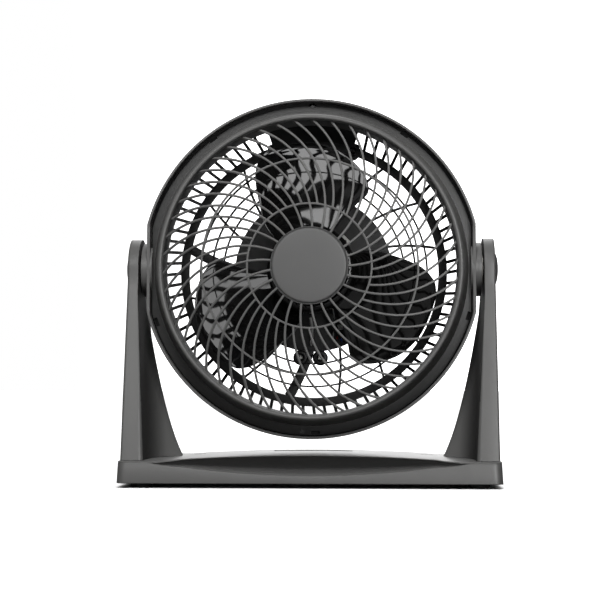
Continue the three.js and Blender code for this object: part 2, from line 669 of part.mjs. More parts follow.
function drumShell() {
  const back = DRUM_RADIUS - DRUM_DRAFT;
  const lipBack = LIP_FRONT - LIP_DEPTH;
  const boreBack = back - DRUM_WALL;
  let body = betweenFlats(solid(revolve([
    [0, DRUM_BACK], [back, DRUM_BACK], [DRUM_RADIUS, lipBack - 2],
    [LIP_RADIUS, lipBack], [LIP_RADIUS, LIP_FRONT], [0, LIP_FRONT],
  ], RIM_FACETS)), FLAT_HALF_WIDTH);
  for (const side of [-1, 1]) {
    const boss = disc(BOSS_RADIUS, FLAT_HALF_WIDTH - BOSS_ROOT, BOSS_FACE, RING_FACETS * 3 / 4);
    body = body.add(solid(alongX(boss, side)));
  }
  const pocket = disc(LIP_INNER, LEDGE, LIP_FRONT + 1, RIM_FACETS);
  const bore = revolve([
    [0, DRUM_BACK - 1], [boreBack, DRUM_BACK - 1], [boreBack, DRUM_BACK],
    [DRUM_BORE, LEDGE + 1], [0, LEDGE + 1],
  ], RIM_FACETS);
  body = body.subtract(betweenFlats(solid(pocket), FLAT_HALF_WIDTH - LIP_WALL));
  body = body.subtract(betweenFlats(solid(bore), FLAT_HALF_WIDTH - LIP_WALL - DRUM_WALL));
  for (const side of [-1, 1]) {
    const depth = BOSS_FACE - PIVOT_THREAD_LENGTH - 1;
    const bolt = disc(PIVOT_THREAD_RADIUS + SEAT, depth, BOSS_FACE + 1, SMALL_FACETS);
    body = body.subtract(solid(alongX(bolt, side)));
  }
  for (const angle of FLANGE_SCREW_ANGLES) {
    const [x, y] = polar(FLANGE_SCREW_RADIUS, angle);
    const boss = disc(FLANGE_SCREW_BOSS, LEDGE - FLANGE_BOSS_LENGTH, LEDGE, SMALL_FACETS);
    const holeBottom = LEDGE - FLANGE_SCREW_LENGTH;
    const hole = disc(SCREW_RADIUS + SEAT, holeBottom, LEDGE + 1, SCREW_FACETS);
    body = body.add(solid(boss.translate(x, y, 0)));
    body = body.subtract(solid(hole.translate(x, y, 0)));
  }
  return body;
}

// ---------------------------------------------------------------- front grille

function domeHeight(radius) {
  return DOME_TOP - DOME_DROP * (radius / MOUTH_RADIUS) ** DOME_POWER;
}

// Angle of the curved rib at a radius, measured from where it crosses the inner ring.
function ribAngle(radius) {
  const [centre, arc] = [RIB_ARC_CENTRE, RIB_ARC_RADIUS];
  const bearing = (r) => Math.acos((r ** 2 + centre ** 2 - arc ** 2) / (2 * r * centre));
  return THREE.MathUtils.radToDeg(bearing(INNER_RING_RADIUS) - bearing(radius));
}

// Half of a rib's width as an angle, for a rib that leans away from the radius.
function halfAngle(radius, width, angleAt) {
  const lean = radius * turn(angleAt(radius + 0.5) - angleAt(radius - 0.5));
  return THREE.MathUtils.radToDeg(width / 2 * Math.hypot(1, lean) / radius);
}

// The opening between two neighbouring ribs of one curve, through a list of radii.
function opening(radii, angleAt, [start, startWidth], [next, nextWidth]) {
  const near = (radius) => start + angleAt(radius) + halfAngle(radius, startWidth, angleAt);
  const far = (radius) => next + angleAt(radius) - halfAngle(radius, nextWidth, angleAt);
  const out = radii.map((radius) => polar(radius, near(radius)));
  const home = radii.map((radius) => polar(radius, far(radius))).reverse();
  return [...out, ...home];
}

function circle(radius) {
  return Array.from({ length: RIM_FACETS }, (_, i) => polar(radius, i * 360 / RIM_FACETS));
}

// A round plate with openings, laid on a curved surface of the given height.
function lattice(radius, thickness, openings, heightAt) {
  const path = (points) => points.map(([x, y]) => new THREE.Vector2(x, y));
  const shape = new THREE.Shape(path(circle(radius)));
  shape.holes = openings.map((points) => new THREE.Path(path(points)));
  const plate = new THREE.ExtrudeGeometry(shape, { depth: thickness, bevelEnabled: false });
  const position = plate.getAttribute('position');
  for (let i = 0; i < position.count; i += 1) {
    const height = heightAt(Math.hypot(position.getX(i), position.getY(i)));
    position.setZ(i, position.getZ(i) + height - thickness);
  }
  return plate;
}

function spacedRadii(from, to, steps) {
  return Array.from({ length: steps + 1 }, (_, i) => from + (to - from) * i / steps);
}

function grilleOpenings() {
  const half = RING_WIDTH / 2;
  const pitch = 360 / RIB_COUNT;
  const inner = spacedRadii(HUB_RADIUS, INNER_RING_RADIUS - half, 1);
  const middle = spacedRadii(INNER_RING_RADIUS + half, OUTER_RING_RADIUS - half, 2);
  const outer = spacedRadii(OUTER_RING_RADIUS + half, MOUTH_RADIUS + MOUTH_WALL / 2, 2);
  const openings = [];
  for (let i = 0; i < RIB_COUNT; i += 1) {
    const start = RIB_START_ANGLE + i * pitch;
    const ribAt = (share) => [start + share * pitch, RIB_WIDTH];
    openings.push(opening(inner, ribAngle, ribAt(0), ribAt(1)));
    for (const radii of [middle, outer]) {
      openings.push(opening(radii, ribAngle, ribAt(0), ribAt(0.5)));
      openings.push(opening(radii, ribAngle, ribAt(0.5), ribAt(1)));
    }
  }
  return openings;
}

function frontGrille() {
  const wall = MOUTH_WALL;
  const rim = revolve([
    [FLANGE_RADIUS, FLANGE_BOTTOM],
    [FLANGE_RADIUS, FLANGE_TOP],
    [CONE_RADIUS, FLANGE_TOP],
    [BEAD_RADIUS + wall, BEAD_TOP - wall],
    [BEAD_RADIUS, BEAD_TOP],
    [BEAD_RADIUS - wall, BEAD_TOP - wall / 4],
    [MOUTH_RADIUS, MOUTH_FRONT],
    [MOUTH_RADIUS, MOUTH_FRONT - MOUTH_DEPTH],
    [MOUTH_RADIUS + wall, MOUTH_FRONT - MOUTH_DEPTH],
    [BEAD_RADIUS, BEAD_TOP - 2 * wall],
    [CONE_RADIUS - wall, FLANGE_BOTTOM],
  ], RIM_FACETS);
  let body = betweenFlats(solid(rim), FLAT_HALF_WIDTH - LIP_WALL - SEAT);

  const edge = MOUTH_RADIUS + 0.75 * wall;
  body = body.add(solid(lattice(edge, RIB_DEPTH, grilleOpenings(), domeHeight)));
  const recess = domeHeight(HUB_RADIUS) - HUB_CAP_HEIGHT / 2;
  body = body.subtract(solid(disc(HUB_CAP_RADIUS + SEAT, recess, DOME_TOP + 1, RING_FACETS)));

  for (const angle of FLANGE_SCREW_ANGLES) {
    const [x, y] = polar(FLANGE_SCREW_RADIUS, angle);
    const hole = disc(SCREW_RADIUS + SEAT, FLANGE_BOTTOM - 1, FLANGE_TOP + 1, SCREW_FACETS);
    body = body.subtract(solid(hole.translate(x, y, 0)));
  }
  for (const angle of NOTCH_ANGLES) {
    const [inner, outer] = [CONE_RADIUS + 1.5, CONE_RADIUS + 1.5 + NOTCH_WIDTH];
    const half = NOTCH_LENGTH / 2;
    const notch = box(inner, outer, -half, half, FLANGE_BOTTOM - 1, FLANGE_TOP + 1);
    body = body.subtract(solid(notch.rotateZ(turn(angle))));
  }
  return body;
}

function hubCap() {
  const base = domeHeight(HUB_RADIUS) - HUB_CAP_HEIGHT / 2 + SEAT;
  return revolve([
    [0, base],
    [HUB_CAP_RADIUS, base],
    [HUB_CAP_RADIUS, base + HUB_CAP_HEIGHT - 1],
    [HUB_CAP_RADIUS - 1, base + HUB_CAP_HEIGHT - 0.2],
    [0, base + HUB_CAP_HEIGHT],
  ], RING_FACETS);
}

place(head, 'drum_shell', surface(drumShell()), GREY);
place(head, 'front_grille', surface(frontGrille()), GREY);
place(head, 'hub_cap', hubCap(), CAP_GREY);
FLANGE_SCREW_ANGLES.forEach((angle, i) => {
  const [x, y] = polar(FLANGE_SCREW_RADIUS, angle);
  const flangeScrew = screw(FLANGE_SCREW_LENGTH, 8).translate(x, y, FLANGE_TOP + SEAT);
  place(head, `flange_screw_${i + 1}`, flangeScrew, BLACK);
});

// ---------------------------------------------------------------- rear grille

// The rear grille is flat inside its wide ring, and slopes forward outside it.
function rearHeight(radius) {
  const share = Math.max(0, (radius - WIDE_RING_OUTER) / (COLLAR_RADIUS - WIDE_RING_OUTER));
  return REAR_FACE + (COLLAR_FRONT - REAR_FACE) * share;
}

function rearTwist(radius) {
  const share = (WIDE_RING_INNER - radius) / (WIDE_RING_INNER - MOTOR_PLATE_RADIUS);
  return REAR_RIB_TWIST * share;
}

function basketTwist(radius) {
  return BASKET_RIB_TWIST * (radius - WIDE_RING_OUTER) / (COLLAR_RADIUS - WIDE_RING_OUTER);
}

function rearOpenings() {
  const half = THIN_RING_WIDTH / 2;
  const openings = [];
  const rib = (i) => {
    const width = i % 4 === 3 ? STRUT_WIDTH : REAR_RIB_WIDTH;
    return [REAR_RIB_START + i * 360 / REAR_RIB_COUNT, width];
  };
  for (let i = 0; i < REAR_RIB_COUNT; i += 1) {
    let from = MOTOR_PLATE_RADIUS;
    for (const ringRadius of [...THIN_RING_RADII, WIDE_RING_INNER + half]) {
      openings.push(opening([from, ringRadius - half], rearTwist, rib(i), rib(i + 1)));
      from = ringRadius + half;
    }
  }
  return openings;
}

function basketOpenings() {
  const openings = [circle(WIDE_RING_OUTER - SEAT)];
  const pitch = 360 / BASKET_RIB_COUNT;
  const panelHalf = THREE.MathUtils.radToDeg(Math.asin(PANEL_HALF_WIDTH / WIDE_RING_OUTER));
  for (let i = 0; i < BASKET_RIB_COUNT; i += 1) {
    const start = i * pitch;
    const middle = start + pitch / 2;
    const flats = (FLAT_HALF_WIDTH - COLLAR_SETBACK) / Math.abs(Math.cos(turn(middle)));
    const last = Math.min(COLLAR_RADIUS, flats) - COLLAR_WIDTH;
    const [near, far] = [[start, BASKET_RIB_WIDTH], [start + pitch, BASKET_RIB_WIDTH]];
    const inPanel = Math.abs(middle - 90) < panelHalf;
    if (!inPanel) openings.push(opening([WIDE_RING_OUTER, last], basketTwist, near, far));
  }
  return openings;
}

function rearGrille() {
  const plate = lattice(WIDE_RING_OUTER, REAR_THICKNESS, rearOpenings(), rearHeight);
  const basket = lattice(COLLAR_RADIUS, REAR_THICKNESS, basketOpenings(), rearHeight);
  const whole = solid(plate).add(solid(basket));
  let body = betweenFlats(whole, FLAT_HALF_WIDTH - COLLAR_SETBACK);

  for (const angle of POST_ANGLES) {
    const [x, y] = polar(POST_CIRCLE, angle);
    const post = disc(POST_RADIUS, REAR_BACK, REAR_FACE + POST_HEIGHT, SMALL_FACETS);
    body = body.add(solid(post.translate(x, y, 0)));
    const hole = disc(SCREW_RADIUS + SEAT, REAR_FACE, REAR_FACE + POST_HEIGHT + 1, SCREW_FACETS);
    body = body.subtract(solid(hole.translate(x, y, 0)));
  }
  for (const angle of MOTOR_EAR_ANGLES) {
    const [x, y] = polar(MOTOR_EAR_CIRCLE, angle);
    body = body.subtract(plateHole(x, y, SCREW_RADIUS));
  }
  for (const side of [-1, 1]) {
    body = body.subtract(plateHole(side * HANDLE_LEG_X, HANDLE_HEIGHT, SCREW_RADIUS));
  }
  const shaftHole = disc(BEARING_RADIUS + 1, REAR_BACK - 1, REAR_FACE + 1, SMALL_FACETS);
  body = body.subtract(solid(shaftHole));
  for (const [x, y] of leadHoles) body = body.subtract(plateHole(x, y, LEAD_RADIUS));
  return body;
}

function plateHole(x, y, radius) {
  const hole = disc(radius + SEAT, REAR_BACK - 1, REAR_FACE + 1, SCREW_FACETS);
  return solid(hole.translate(x, y, 0));
}

// Carry handle behind the panel: a bar on two legs, with room for the fingers.
function carryHandle() {
  const wide = HANDLE_HALF_WIDTH;
  const front = REAR_BACK - SEAT;
  const gap = front - HANDLE_GRIP_GAP;
  const back = gap - HANDLE_BAR;
  const round = HANDLE_CORNER;
  const inner = wide - HANDLE_LEG;
  const arch = extrude([
    [-wide, front], [-wide, back + round], [-wide + round, back], [wide - round, back],
    [wide, back + round], [wide, front], [inner, front], [inner, gap + round],
    [inner - round, gap], [round - inner, gap], [-inner, gap + round], [-inner, front],
  ], HANDLE_THICKNESS);
  arch.rotateX(Math.PI / 2).translate(0, HANDLE_HEIGHT + HANDLE_THICKNESS / 2, 0);
  let body = solid(arch);
  for (const side of [-1, 1]) {
    const hole = disc(SCREW_RADIUS + SEAT, front - HANDLE_SCREW_LENGTH, front + 1, SCREW_FACETS);
    body = body.subtract(solid(hole.translate(side * HANDLE_LEG_X, HANDLE_HEIGHT, 0)));
  }
  return body;
}

// ---------------------------------------------------------------- motor

function bracket(low, high, floor) {
  const outer = MOTOR_RADIUS + BRACKET_WALL + SEAT;
  const bore = BEARING_RADIUS + SEAT;
  const inside = floor === low ? low + BRACKET_WALL : high - BRACKET_WALL;
  const mouth = floor === low ? high : low;
  return solid(revolve([
    [bore, floor], [outer, floor], [outer, mouth], [outer - BRACKET_WALL, mouth],
    [outer - BRACKET_WALL, inside], [bore, inside],
  ], RING_FACETS / 2));
}

function rearBracket() {
  let body = bracket(MOTOR_BACK, STATOR_BACK + 4, MOTOR_BACK);
  for (const angle of MOTOR_EAR_ANGLES) {
    const [x, y] = polar(MOTOR_EAR_CIRCLE, angle);
    const ear = box(
      MOTOR_RADIUS, MOTOR_EAR_CIRCLE + MOTOR_EAR_RADIUS, -MOTOR_EAR_RADIUS, MOTOR_EAR_RADIUS,
      MOTOR_BACK, MOTOR_BACK + BRACKET_WALL,
    );
    body = body.add(solid(ear.rotateZ(turn(angle))));
    const hole = disc(SCREW_RADIUS + SEAT, MOTOR_BACK - 1, MOTOR_BACK + 3, SCREW_FACETS);
    body = body.subtract(solid(hole.translate(x, y, 0)));
  }
  return body;
}

function frontBracket() {
  return bracket(STATOR_FRONT - 3, MOTOR_FRONT, MOTOR_FRONT);
}

function stator() {
  return ring(STATOR_BORE, MOTOR_RADIUS, STATOR_BACK, STATOR_FRONT, RING_FACETS / 2);
}

function winding(low) {
  return ring(WINDING_INNER, WINDING_OUTER, low, low + WINDING_LENGTH, RING_FACETS / 2);
}

function bearing(front) {
  const inner = SHAFT_RADIUS + RUNNING_GAP;
  return ring(inner, BEARING_RADIUS, front - BEARING_LENGTH, front, SMALL_FACETS);
}

function shaft() {
  return disc(SHAFT_RADIUS, MOTOR_BACK + 1, SPINNER_TOP + SEAT + NUT_LENGTH - 2, SMALL_FACETS);
}

function rotor() {
  const outer = STATOR_BORE - ROTOR_GAP;
  return ring(SHAFT_RADIUS + RUNNING_GAP, outer, STATOR_BACK, STATOR_FRONT, RING_FACETS / 2);
}

// Two leads from the windings out to the plate, each with its own hole.
const leadHoles = [[22, -58], [27, -56]];

function lead([x, y]) {
  const start = new THREE.Vector3(x * 0.62, y * 0.62, STATOR_BACK + 4 + 2 * LEAD_RADIUS);
  const route = new THREE.QuadraticBezierCurve3(
    start,
    new THREE.Vector3(x, y, STATOR_BACK + 6),
    new THREE.Vector3(x, y, REAR_FACE - REAR_THICKNESS / 2),
  );
  const section = new THREE.Shape().absarc(0, 0, LEAD_RADIUS, 0, 2 * Math.PI);
  return new THREE.ExtrudeGeometry(section, { steps: 6, curveSegments: 3, extrudePath: route });
}

// ---------------------------------------------------------------- impeller

function bladeSlice({ reach, lead: from, trail: to, back, front }, start) {
  const root = SPINNER_RADIUS - 1;
  const radius = root + (BLADE_TIP_RADIUS - root) * reach;
  const steps = 4;
  const upper = [];
  const lower = [];
  for (let i = 0; i <= steps; i += 1) {
    const share = i / steps;
    const angle = start + from + (to - from) * share;
    const camber = BLADE_CAMBER * 4 * share * (1 - share) * (to - from) / 80;
    const depth = BLADE_DEPTH * (back + (front - back) * share);
    const z = IMPELLER_MIDDLE + depth - camber;
    const half = BLADE_THICKNESS / 2 * (0.35 + 2.6 * share * (1 - share));
    const [x, y] = polar(radius, angle);
    upper.push([x, y, z + half]);
    lower.push([x, y, z - half]);
  }
  return [...upper, ...lower.reverse()];
}

function impeller() {
  const spinnerBack = SPINNER_TOP - SPINNER_DEPTH;
  const inner = SPINNER_RADIUS - SPINNER_WALL;
  let body = solid(revolve([
    [0, SPINNER_TOP - SPINNER_WALL],
    [inner - 2, SPINNER_TOP - SPINNER_WALL],
    [inner, SPINNER_TOP - 2 * SPINNER_WALL],
    [inner, spinnerBack],
    [SPINNER_RADIUS, spinnerBack],
    [SPINNER_RADIUS, SPINNER_TOP - 4],
    [SPINNER_RADIUS - 4, SPINNER_TOP],
    [0, SPINNER_TOP],
  ], RING_FACETS * 3 / 4));
  const sleeve = disc(SLEEVE_RADIUS, SPINNER_TOP - SLEEVE_LENGTH, SPINNER_TOP - 1, SMALL_FACETS);
  body = body.add(solid(sleeve));
  for (let i = 0; i < BLADE_COUNT; i += 1) {
    const start = BLADE_START_ANGLE + i * 360 / BLADE_COUNT;
    body = body.add(solid(loft(BLADE_EDGES.map((edge) => bladeSlice(edge, start)))));
  }
  const bore = disc(SHAFT_RADIUS + RUNNING_GAP, spinnerBack - 1, SPINNER_TOP + 1, SMALL_FACETS);
  return body.subtract(solid(bore));
}

function spinnerNut() {
  const low = SPINNER_TOP + SEAT;
  const high = low + NUT_LENGTH;
  const bore = SHAFT_RADIUS + RUNNING_GAP;
  return revolve([
    [0, high - NUT_CROWN],
    [bore, high - NUT_CROWN],
    [bore, low],
    [NUT_RADIUS, low],
    [NUT_RADIUS, low + 0.3 * NUT_LENGTH],
    [NUT_RADIUS - 4, high - 1],
    [0, high],
  ], SMALL_FACETS);
}

// ---------------------------------------------------------------- rear cover and knob

function rearCover() {
  let body = solid(revolve([
    [0, COVER_BACK],
    [COVER_RADIUS - COVER_TAPER - COVER_ROUND, COVER_BACK],
    [COVER_RADIUS - COVER_TAPER, COVER_BACK + COVER_ROUND],
    [COVER_RADIUS, COVER_FRONT],
    [COVER_RADIUS - COVER_WALL, COVER_FRONT],
    [COVER_RADIUS - COVER_WALL - COVER_ROUND - 1, COVER_BACK + COVER_WALL],
    [0, COVER_BACK + COVER_WALL],
  ], RING_FACETS));
  const spindleHole = disc(SPINDLE_RADIUS + SEAT, COVER_BACK - 1, COVER_BACK + 3, SMALL_FACETS);
  body = body.subtract(solid(spindleHole.translate(0, KNOB_OFFSET, 0)));
  const reach = 3 * COVER_ROUND;
  const glandHole = disc(GLAND_RADIUS + SEAT, COVER_RADIUS - reach, COVER_RADIUS + 1, SMALL_FACETS);
  return body.subtract(solid(glandHole.rotateX(Math.PI / 2).translate(0, 0, GLAND_DEPTH)));
}

// The rubber gland in the cover's lower wall, with an open bore for a cord.
function gland() {
  const [flange, neck, bore] = [GLAND_RADIUS + 1.5, GLAND_RADIUS, CORD_HOLE_RADIUS];
  const outside = COVER_RADIUS + SEAT;
  return revolve([
    [bore, outside - 2 * COVER_WALL],
    [neck, outside - 2 * COVER_WALL],
    [neck, outside],
    [flange, outside],
    [flange - 1, outside + GLAND_LENGTH],
    [bore, outside + GLAND_LENGTH],
  ], SMALL_FACETS).rotateX(Math.PI / 2).translate(0, 0, GLAND_DEPTH);
}

function speedSwitch() {
  const half = SWITCH_WIDTH / 2;
  const back = COVER_BACK + COVER_WALL + SEAT;
  const body = box(
    -half, half, KNOB_OFFSET - half, KNOB_OFFSET + half, back, back + SWITCH_DEPTH,
  );
  const bore = disc(SPINDLE_RADIUS + SEAT, back - 1, back + SWITCH_DEPTH / 2, SMALL_FACETS);
  return solid(body).subtract(solid(bore.translate(0, KNOB_OFFSET, 0)));
}

// Knob with its spindle and a raised pointer bar.
function speedKnob() {
  const front = COVER_BACK - SEAT;
  const back = front - KNOB_HEIGHT;
  let body = solid(revolve([
    [0, back + 2], [KNOB_RADIUS - 1.5, back + 2], [KNOB_RADIUS, front], [0, front],
  ], RING_FACETS / 2));
  const spindleTop = COVER_BACK + COVER_WALL + SWITCH_DEPTH / 2 - 1;
  body = body.add(solid(disc(SPINDLE_RADIUS, front - 1, spindleTop, SMALL_FACETS)));
  const half = KNOB_POINTER / 2;
  body = body.add(solid(box(-half, half, 2 - KNOB_RADIUS, KNOB_RADIUS - 2, back, back + 3)));
  return surface(body).translate(0, KNOB_OFFSET, 0);
}

place(head, 'rear_grille', surface(rearGrille()), BLACK);
place(head, 'carry_handle', surface(carryHandle()), BLACK);
for (const [i, side] of [[1, -1], [2, 1]]) {
  const handleScrew = screw(HANDLE_SCREW_LENGTH);
  handleScrew.translate(side * HANDLE_LEG_X, HANDLE_HEIGHT, REAR_FACE + SEAT);
  place(head, `handle_screw_${i}`, handleScrew, BLACK);
}
POST_ANGLES.forEach((angle, i) => {
  const [x, y] = polar(POST_CIRCLE, angle);
  const top = REAR_FACE + POST_HEIGHT + SEAT;
  place(head, `post_screw_${i + 1}`, screw(POST_HEIGHT - 1, 8).translate(x, y, top), ZINC);
});
place(head, 'motor_bracket_rear', surface(rearBracket()), STEEL);
place(head, 'motor_bracket_front', surface(frontBracket()), STEEL);
place(head, 'stator', stator(), STEEL);
place(head, 'winding_front', winding(STATOR_FRONT + SEAT), COPPER);
place(head, 'winding_rear', winding(STATOR_BACK - SEAT - WINDING_LENGTH), COPPER);
place(head, 'bearing_front', bearing(MOTOR_FRONT), BRONZE);
place(head, 'bearing_rear', bearing(MOTOR_BACK + BEARING_LENGTH), BRONZE);
MOTOR_EAR_ANGLES.forEach((angle, i) => {
  const [x, y] = polar(MOTOR_EAR_CIRCLE, angle);
  const earScrew = screw(REAR_THICKNESS + BRACKET_WALL);
  earScrew.translate(x, y, MOTOR_BACK + BRACKET_WALL + SEAT);
  place(head, `motor_screw_${i + 1}`, earScrew, ZINC);
});
place(head, 'lead_red', lead(leadHoles[0]), RED);
place(head, 'lead_blue', lead(leadHoles[1]), BLUE);
place(head, 'impeller', surface(impeller()), GLOSS);
place(head, 'spinner_nut', spinnerNut(), GLOSS);
place(head, 'shaft', shaft(), STEEL);
place(head, 'rotor', rotor(), STEEL);
place(head, 'rear_cover', surface(rearCover()), BLACK);
place(head, 'cord_gland', gland(), RUBBER);
place(head, 'speed_switch', surface(speedSwitch()), BLACK);
place(head, 'speed_knob', speedKnob(), BLACK);

export default fan;
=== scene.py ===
# %% [markdown]
# # An air circulator fan, dressed in Blender
# The CAD solids give the places and sizes. This notebook loads them as a fixed frame, and
# then builds the smooth, detailed pieces that the eye meets: the drum, the spiral grille,
# the blades, the stand and the back. Each piece rides on the body that carries it, so that
# the head still tilts and the blades still turn.

# %% Load the frame
import json
import math

import bmesh
import bpy
import numpy as np
from mathutils import Matrix, Vector


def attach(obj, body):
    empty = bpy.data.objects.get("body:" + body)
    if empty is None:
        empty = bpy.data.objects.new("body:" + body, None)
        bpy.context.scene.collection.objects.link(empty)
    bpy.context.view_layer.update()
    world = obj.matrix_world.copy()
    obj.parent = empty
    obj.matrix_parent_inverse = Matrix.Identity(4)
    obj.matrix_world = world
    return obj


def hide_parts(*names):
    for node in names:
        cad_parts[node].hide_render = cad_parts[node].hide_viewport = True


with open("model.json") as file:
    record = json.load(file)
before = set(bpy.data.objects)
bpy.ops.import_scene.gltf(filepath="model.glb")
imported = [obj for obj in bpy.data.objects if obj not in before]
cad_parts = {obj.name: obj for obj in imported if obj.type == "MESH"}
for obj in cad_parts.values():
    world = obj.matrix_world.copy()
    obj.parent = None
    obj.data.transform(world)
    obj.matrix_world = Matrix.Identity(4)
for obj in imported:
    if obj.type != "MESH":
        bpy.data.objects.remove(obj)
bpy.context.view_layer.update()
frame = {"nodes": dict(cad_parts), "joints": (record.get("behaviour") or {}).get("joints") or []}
pivot = Vector(frame["joints"][0]["pos_m"])


# %% [markdown]
# ## Two workbenches
# Shapes are drawn in millimetres. The stand is drawn as it stands, with z up. The head is
# drawn lying on its back: x to the right, y up and z forward along the fan axis, with the
# tilt axis at zero. A matrix then sets a finished mesh in its place, so that the object
# itself can stay at the origin.

# %% Workbenches and the maker of pieces
def turn(degrees, axis):
    return Matrix.Rotation(math.radians(degrees), 4, axis)


MM = Matrix.Scale(0.001, 4)
STAND = MM
HEAD = Matrix.Translation(pivot) @ turn(90, "X") @ MM
SIDE = {1: "right", -1: "left"}


def head_at(x, y, z=0):
    return HEAD @ Matrix.Translation((x, y, z))


def head_side(side):
    """The head's bench turned so that z runs out through one pivot."""
    return HEAD @ turn(90 * side, "Y")


def stand_side(side):
    """The same for pieces that are drawn from the stand."""
    return Matrix.Translation(pivot) @ turn(90 * side, "Y") @ MM


def quarter(steps):
    """Angles over a quarter turn, both ends included."""
    return np.linspace(0, math.pi / 2, steps)


def full_turn(steps):
    """Angles all the way round, without the last, which is the first again."""
    return np.linspace(0, 2 * math.pi, steps, endpoint=False)


def polar(radius, angle, *height):
    return (radius * math.cos(angle), radius * math.sin(angle), *height)


def bend(start, corner, end, t):
    """A point of the curve that leaves start for the corner and arrives at end."""
    return (1 - t) ** 2 * start + 2 * t * (1 - t) * corner + t * t * end


def placed(name, data):
    made = bpy.data.objects.new(name, data)
    bpy.context.scene.collection.objects.link(made)
    return made


def piece(name, points, faces, place):
    mesh = bpy.data.meshes.new(name)
    mesh.from_pydata([tuple(float(c) for c in p) for p in points], [], faces)
    mesh.transform(place)
    return placed(name, mesh)


def smooth(made, angle=32):
    made.data.shade_smooth()
    made.data.set_sharp_from_angle(angle=math.radians(angle))
    return made


def faces_out(made):
    """Merges doubles and turns all faces outwards."""
    shape = bmesh.new()
    shape.from_mesh(made.data)
    bmesh.ops.remove_doubles(shape, verts=shape.verts, dist=1e-7)
    bmesh.ops.recalc_face_normals(shape, faces=shape.faces)
    shape.to_mesh(made.data)
    shape.free()
    return made


def plain_mesh(made):
    """The mesh that an object's modifiers make."""
    return bpy.data.meshes.new_from_object(made.evaluated_get(bpy.context.evaluated_depsgraph_get()))


def keep_plain(made):
    """Keeps the mesh that the modifiers make, without the modifiers."""
    mesh = plain_mesh(made)
    made.modifiers.clear()
    made.data = mesh
    return made


print("axes of the head's bench:", [tuple(round(c, 3) for c in row[:3]) for row in HEAD.to_3x3().normalized()])


# %% [markdown]
# ## Turned shapes
# Most of the fan is round, as if turned on a lathe: a profile of radius and height points
# is carried round the axis. A moulding never has knife edges, so each corner of a profile
# first becomes a small curve. The head is cut flat beside the arms, and holding x between
# two limits gives exactly that cut.

# %% Rounded profiles and the lathe
def rounded(outline, size=0.6, steps=3):
    """The outline with each corner replaced by a small curve, never past half an edge."""
    points = [np.array(p[:2], float) for p in outline]
    sizes = [p[2] if len(p) > 2 else size for p in outline]
    result = []
    for i, corner in enumerate(points):
        before, after = points[i - 1], points[(i + 1) % len(points)]
        reach_in, reach_out = np.linalg.norm(before - corner), np.linalg.norm(after - corner)
        cut = min(sizes[i], 0.45 * reach_in, 0.45 * reach_out)
        if cut < 1e-4:
            result.append(corner)
            continue
        start = corner + (before - corner) / reach_in * cut
        end = corner + (after - corner) / reach_out * cut
        result += [bend(start, corner, end, k / steps) for k in range(steps + 1)]
    return result


def lathe(profile, sides=192, half_width=None):
    """Points and faces of a profile turned about z. half_width holds x between the flats."""
    points, faces, count = [], [], len(profile)
    for angle in full_turn(sides):
        for radius, height in profile:
            x, y = polar(radius, angle)
            if half_width:
                limit = half_width(radius, height)
                x = max(-limit, min(limit, x))
            points.append((x, y, height))
    for i in range(sides):
        a, b = i * count, (i + 1) % sides * count
        for k in range(count):
            n = (k + 1) % count
            faces.append((a + k, b + k, b + n, a + n))
    return points, faces


def shaped(name, points, faces, place, angle=32):
    return smooth(faces_out(piece(name, points, faces, place)), angle)


def turned(name, profile, place, sides=192, half_width=None, angle=32):
    return shaped(name, *lathe(profile, sides, half_width), place, angle)


# %% Skins, cutting and soft edges
def squircle(half_wide, half_high, steps=40, power=0.55, ripple=0.0):
    """A section between an ellipse and a box, which may be rippled."""
    return [(half_wide * math.copysign(abs(math.cos(a)) ** power, math.cos(a)) * (1 + ripple * math.cos(16 * a)),
             half_high * math.copysign(abs(math.sin(a)) ** power, math.sin(a)) * (1 + ripple * math.cos(16 * a)))
            for a in full_turn(steps)]


def side_faces(rows, count):
    """Faces between closed loops of points, each loop after the one before."""
    return [(k * count + i, k * count + (i + 1) % count, (k + 1) * count + (i + 1) % count, (k + 1) * count + i)
            for k in range(rows - 1) for i in range(count)]


def skin(sections):
    """Points and faces of a skin over sections, closed at both ends."""
    count, last = len(sections[0]), (len(sections) - 1) * len(sections[0])
    ends = [tuple(range(count))[::-1], tuple(last + i for i in range(count))]
    return [p for section in sections for p in section], side_faces(len(sections), count) + ends


def cut_away(made, cutters):
    """Subtracts the cutters with a Boolean modifier, and keeps the plain mesh."""
    for cutter in cutters:
        modifier = made.modifiers.new("cut", "BOOLEAN")
        modifier.operation, modifier.solver, modifier.object = "DIFFERENCE", "EXACT", cutter
    keep_plain(made)
    for cutter in cutters:
        bpy.data.objects.remove(cutter)
    return made


def block(low, high, place, angle=0, name="cutter"):
    """A plain box between two corners, turned about z; only used to cut or to be bevelled."""
    points = [(x, y, z) for z in (low[2], high[2]) for y in (low[1], high[1]) for x in (low[0], high[0])]
    spin = turn(angle, "Z")
    faces = [(0, 2, 3, 1), (4, 5, 7, 6), (0, 1, 5, 4), (2, 6, 7, 3), (0, 4, 6, 2), (1, 3, 7, 5)]
    return piece(name, [spin @ Vector(p) for p in points], faces, place)


def join(name, made):
    """Several meshes as one object."""
    with bpy.context.temp_override(active_object=made[0], selected_editable_objects=made):
        bpy.ops.object.join()
    made[0].name = made[0].data.name = name
    return made[0]


def soften(made, width=0.5, segments=3):
    """Rounds a piece's edges with a Bevel modifier, and keeps the plain mesh."""
    modifier = made.modifiers.new("edges", "BEVEL")
    modifier.width, modifier.segments = width * 0.001, segments
    modifier.limit_method, modifier.angle_limit = "ANGLE", math.radians(40)
    return smooth(keep_plain(made), 40)


print("a square corner becomes", len(rounded([(0, 0), (9, 0), (9, 9), (0, 9)])) // 4, "points")


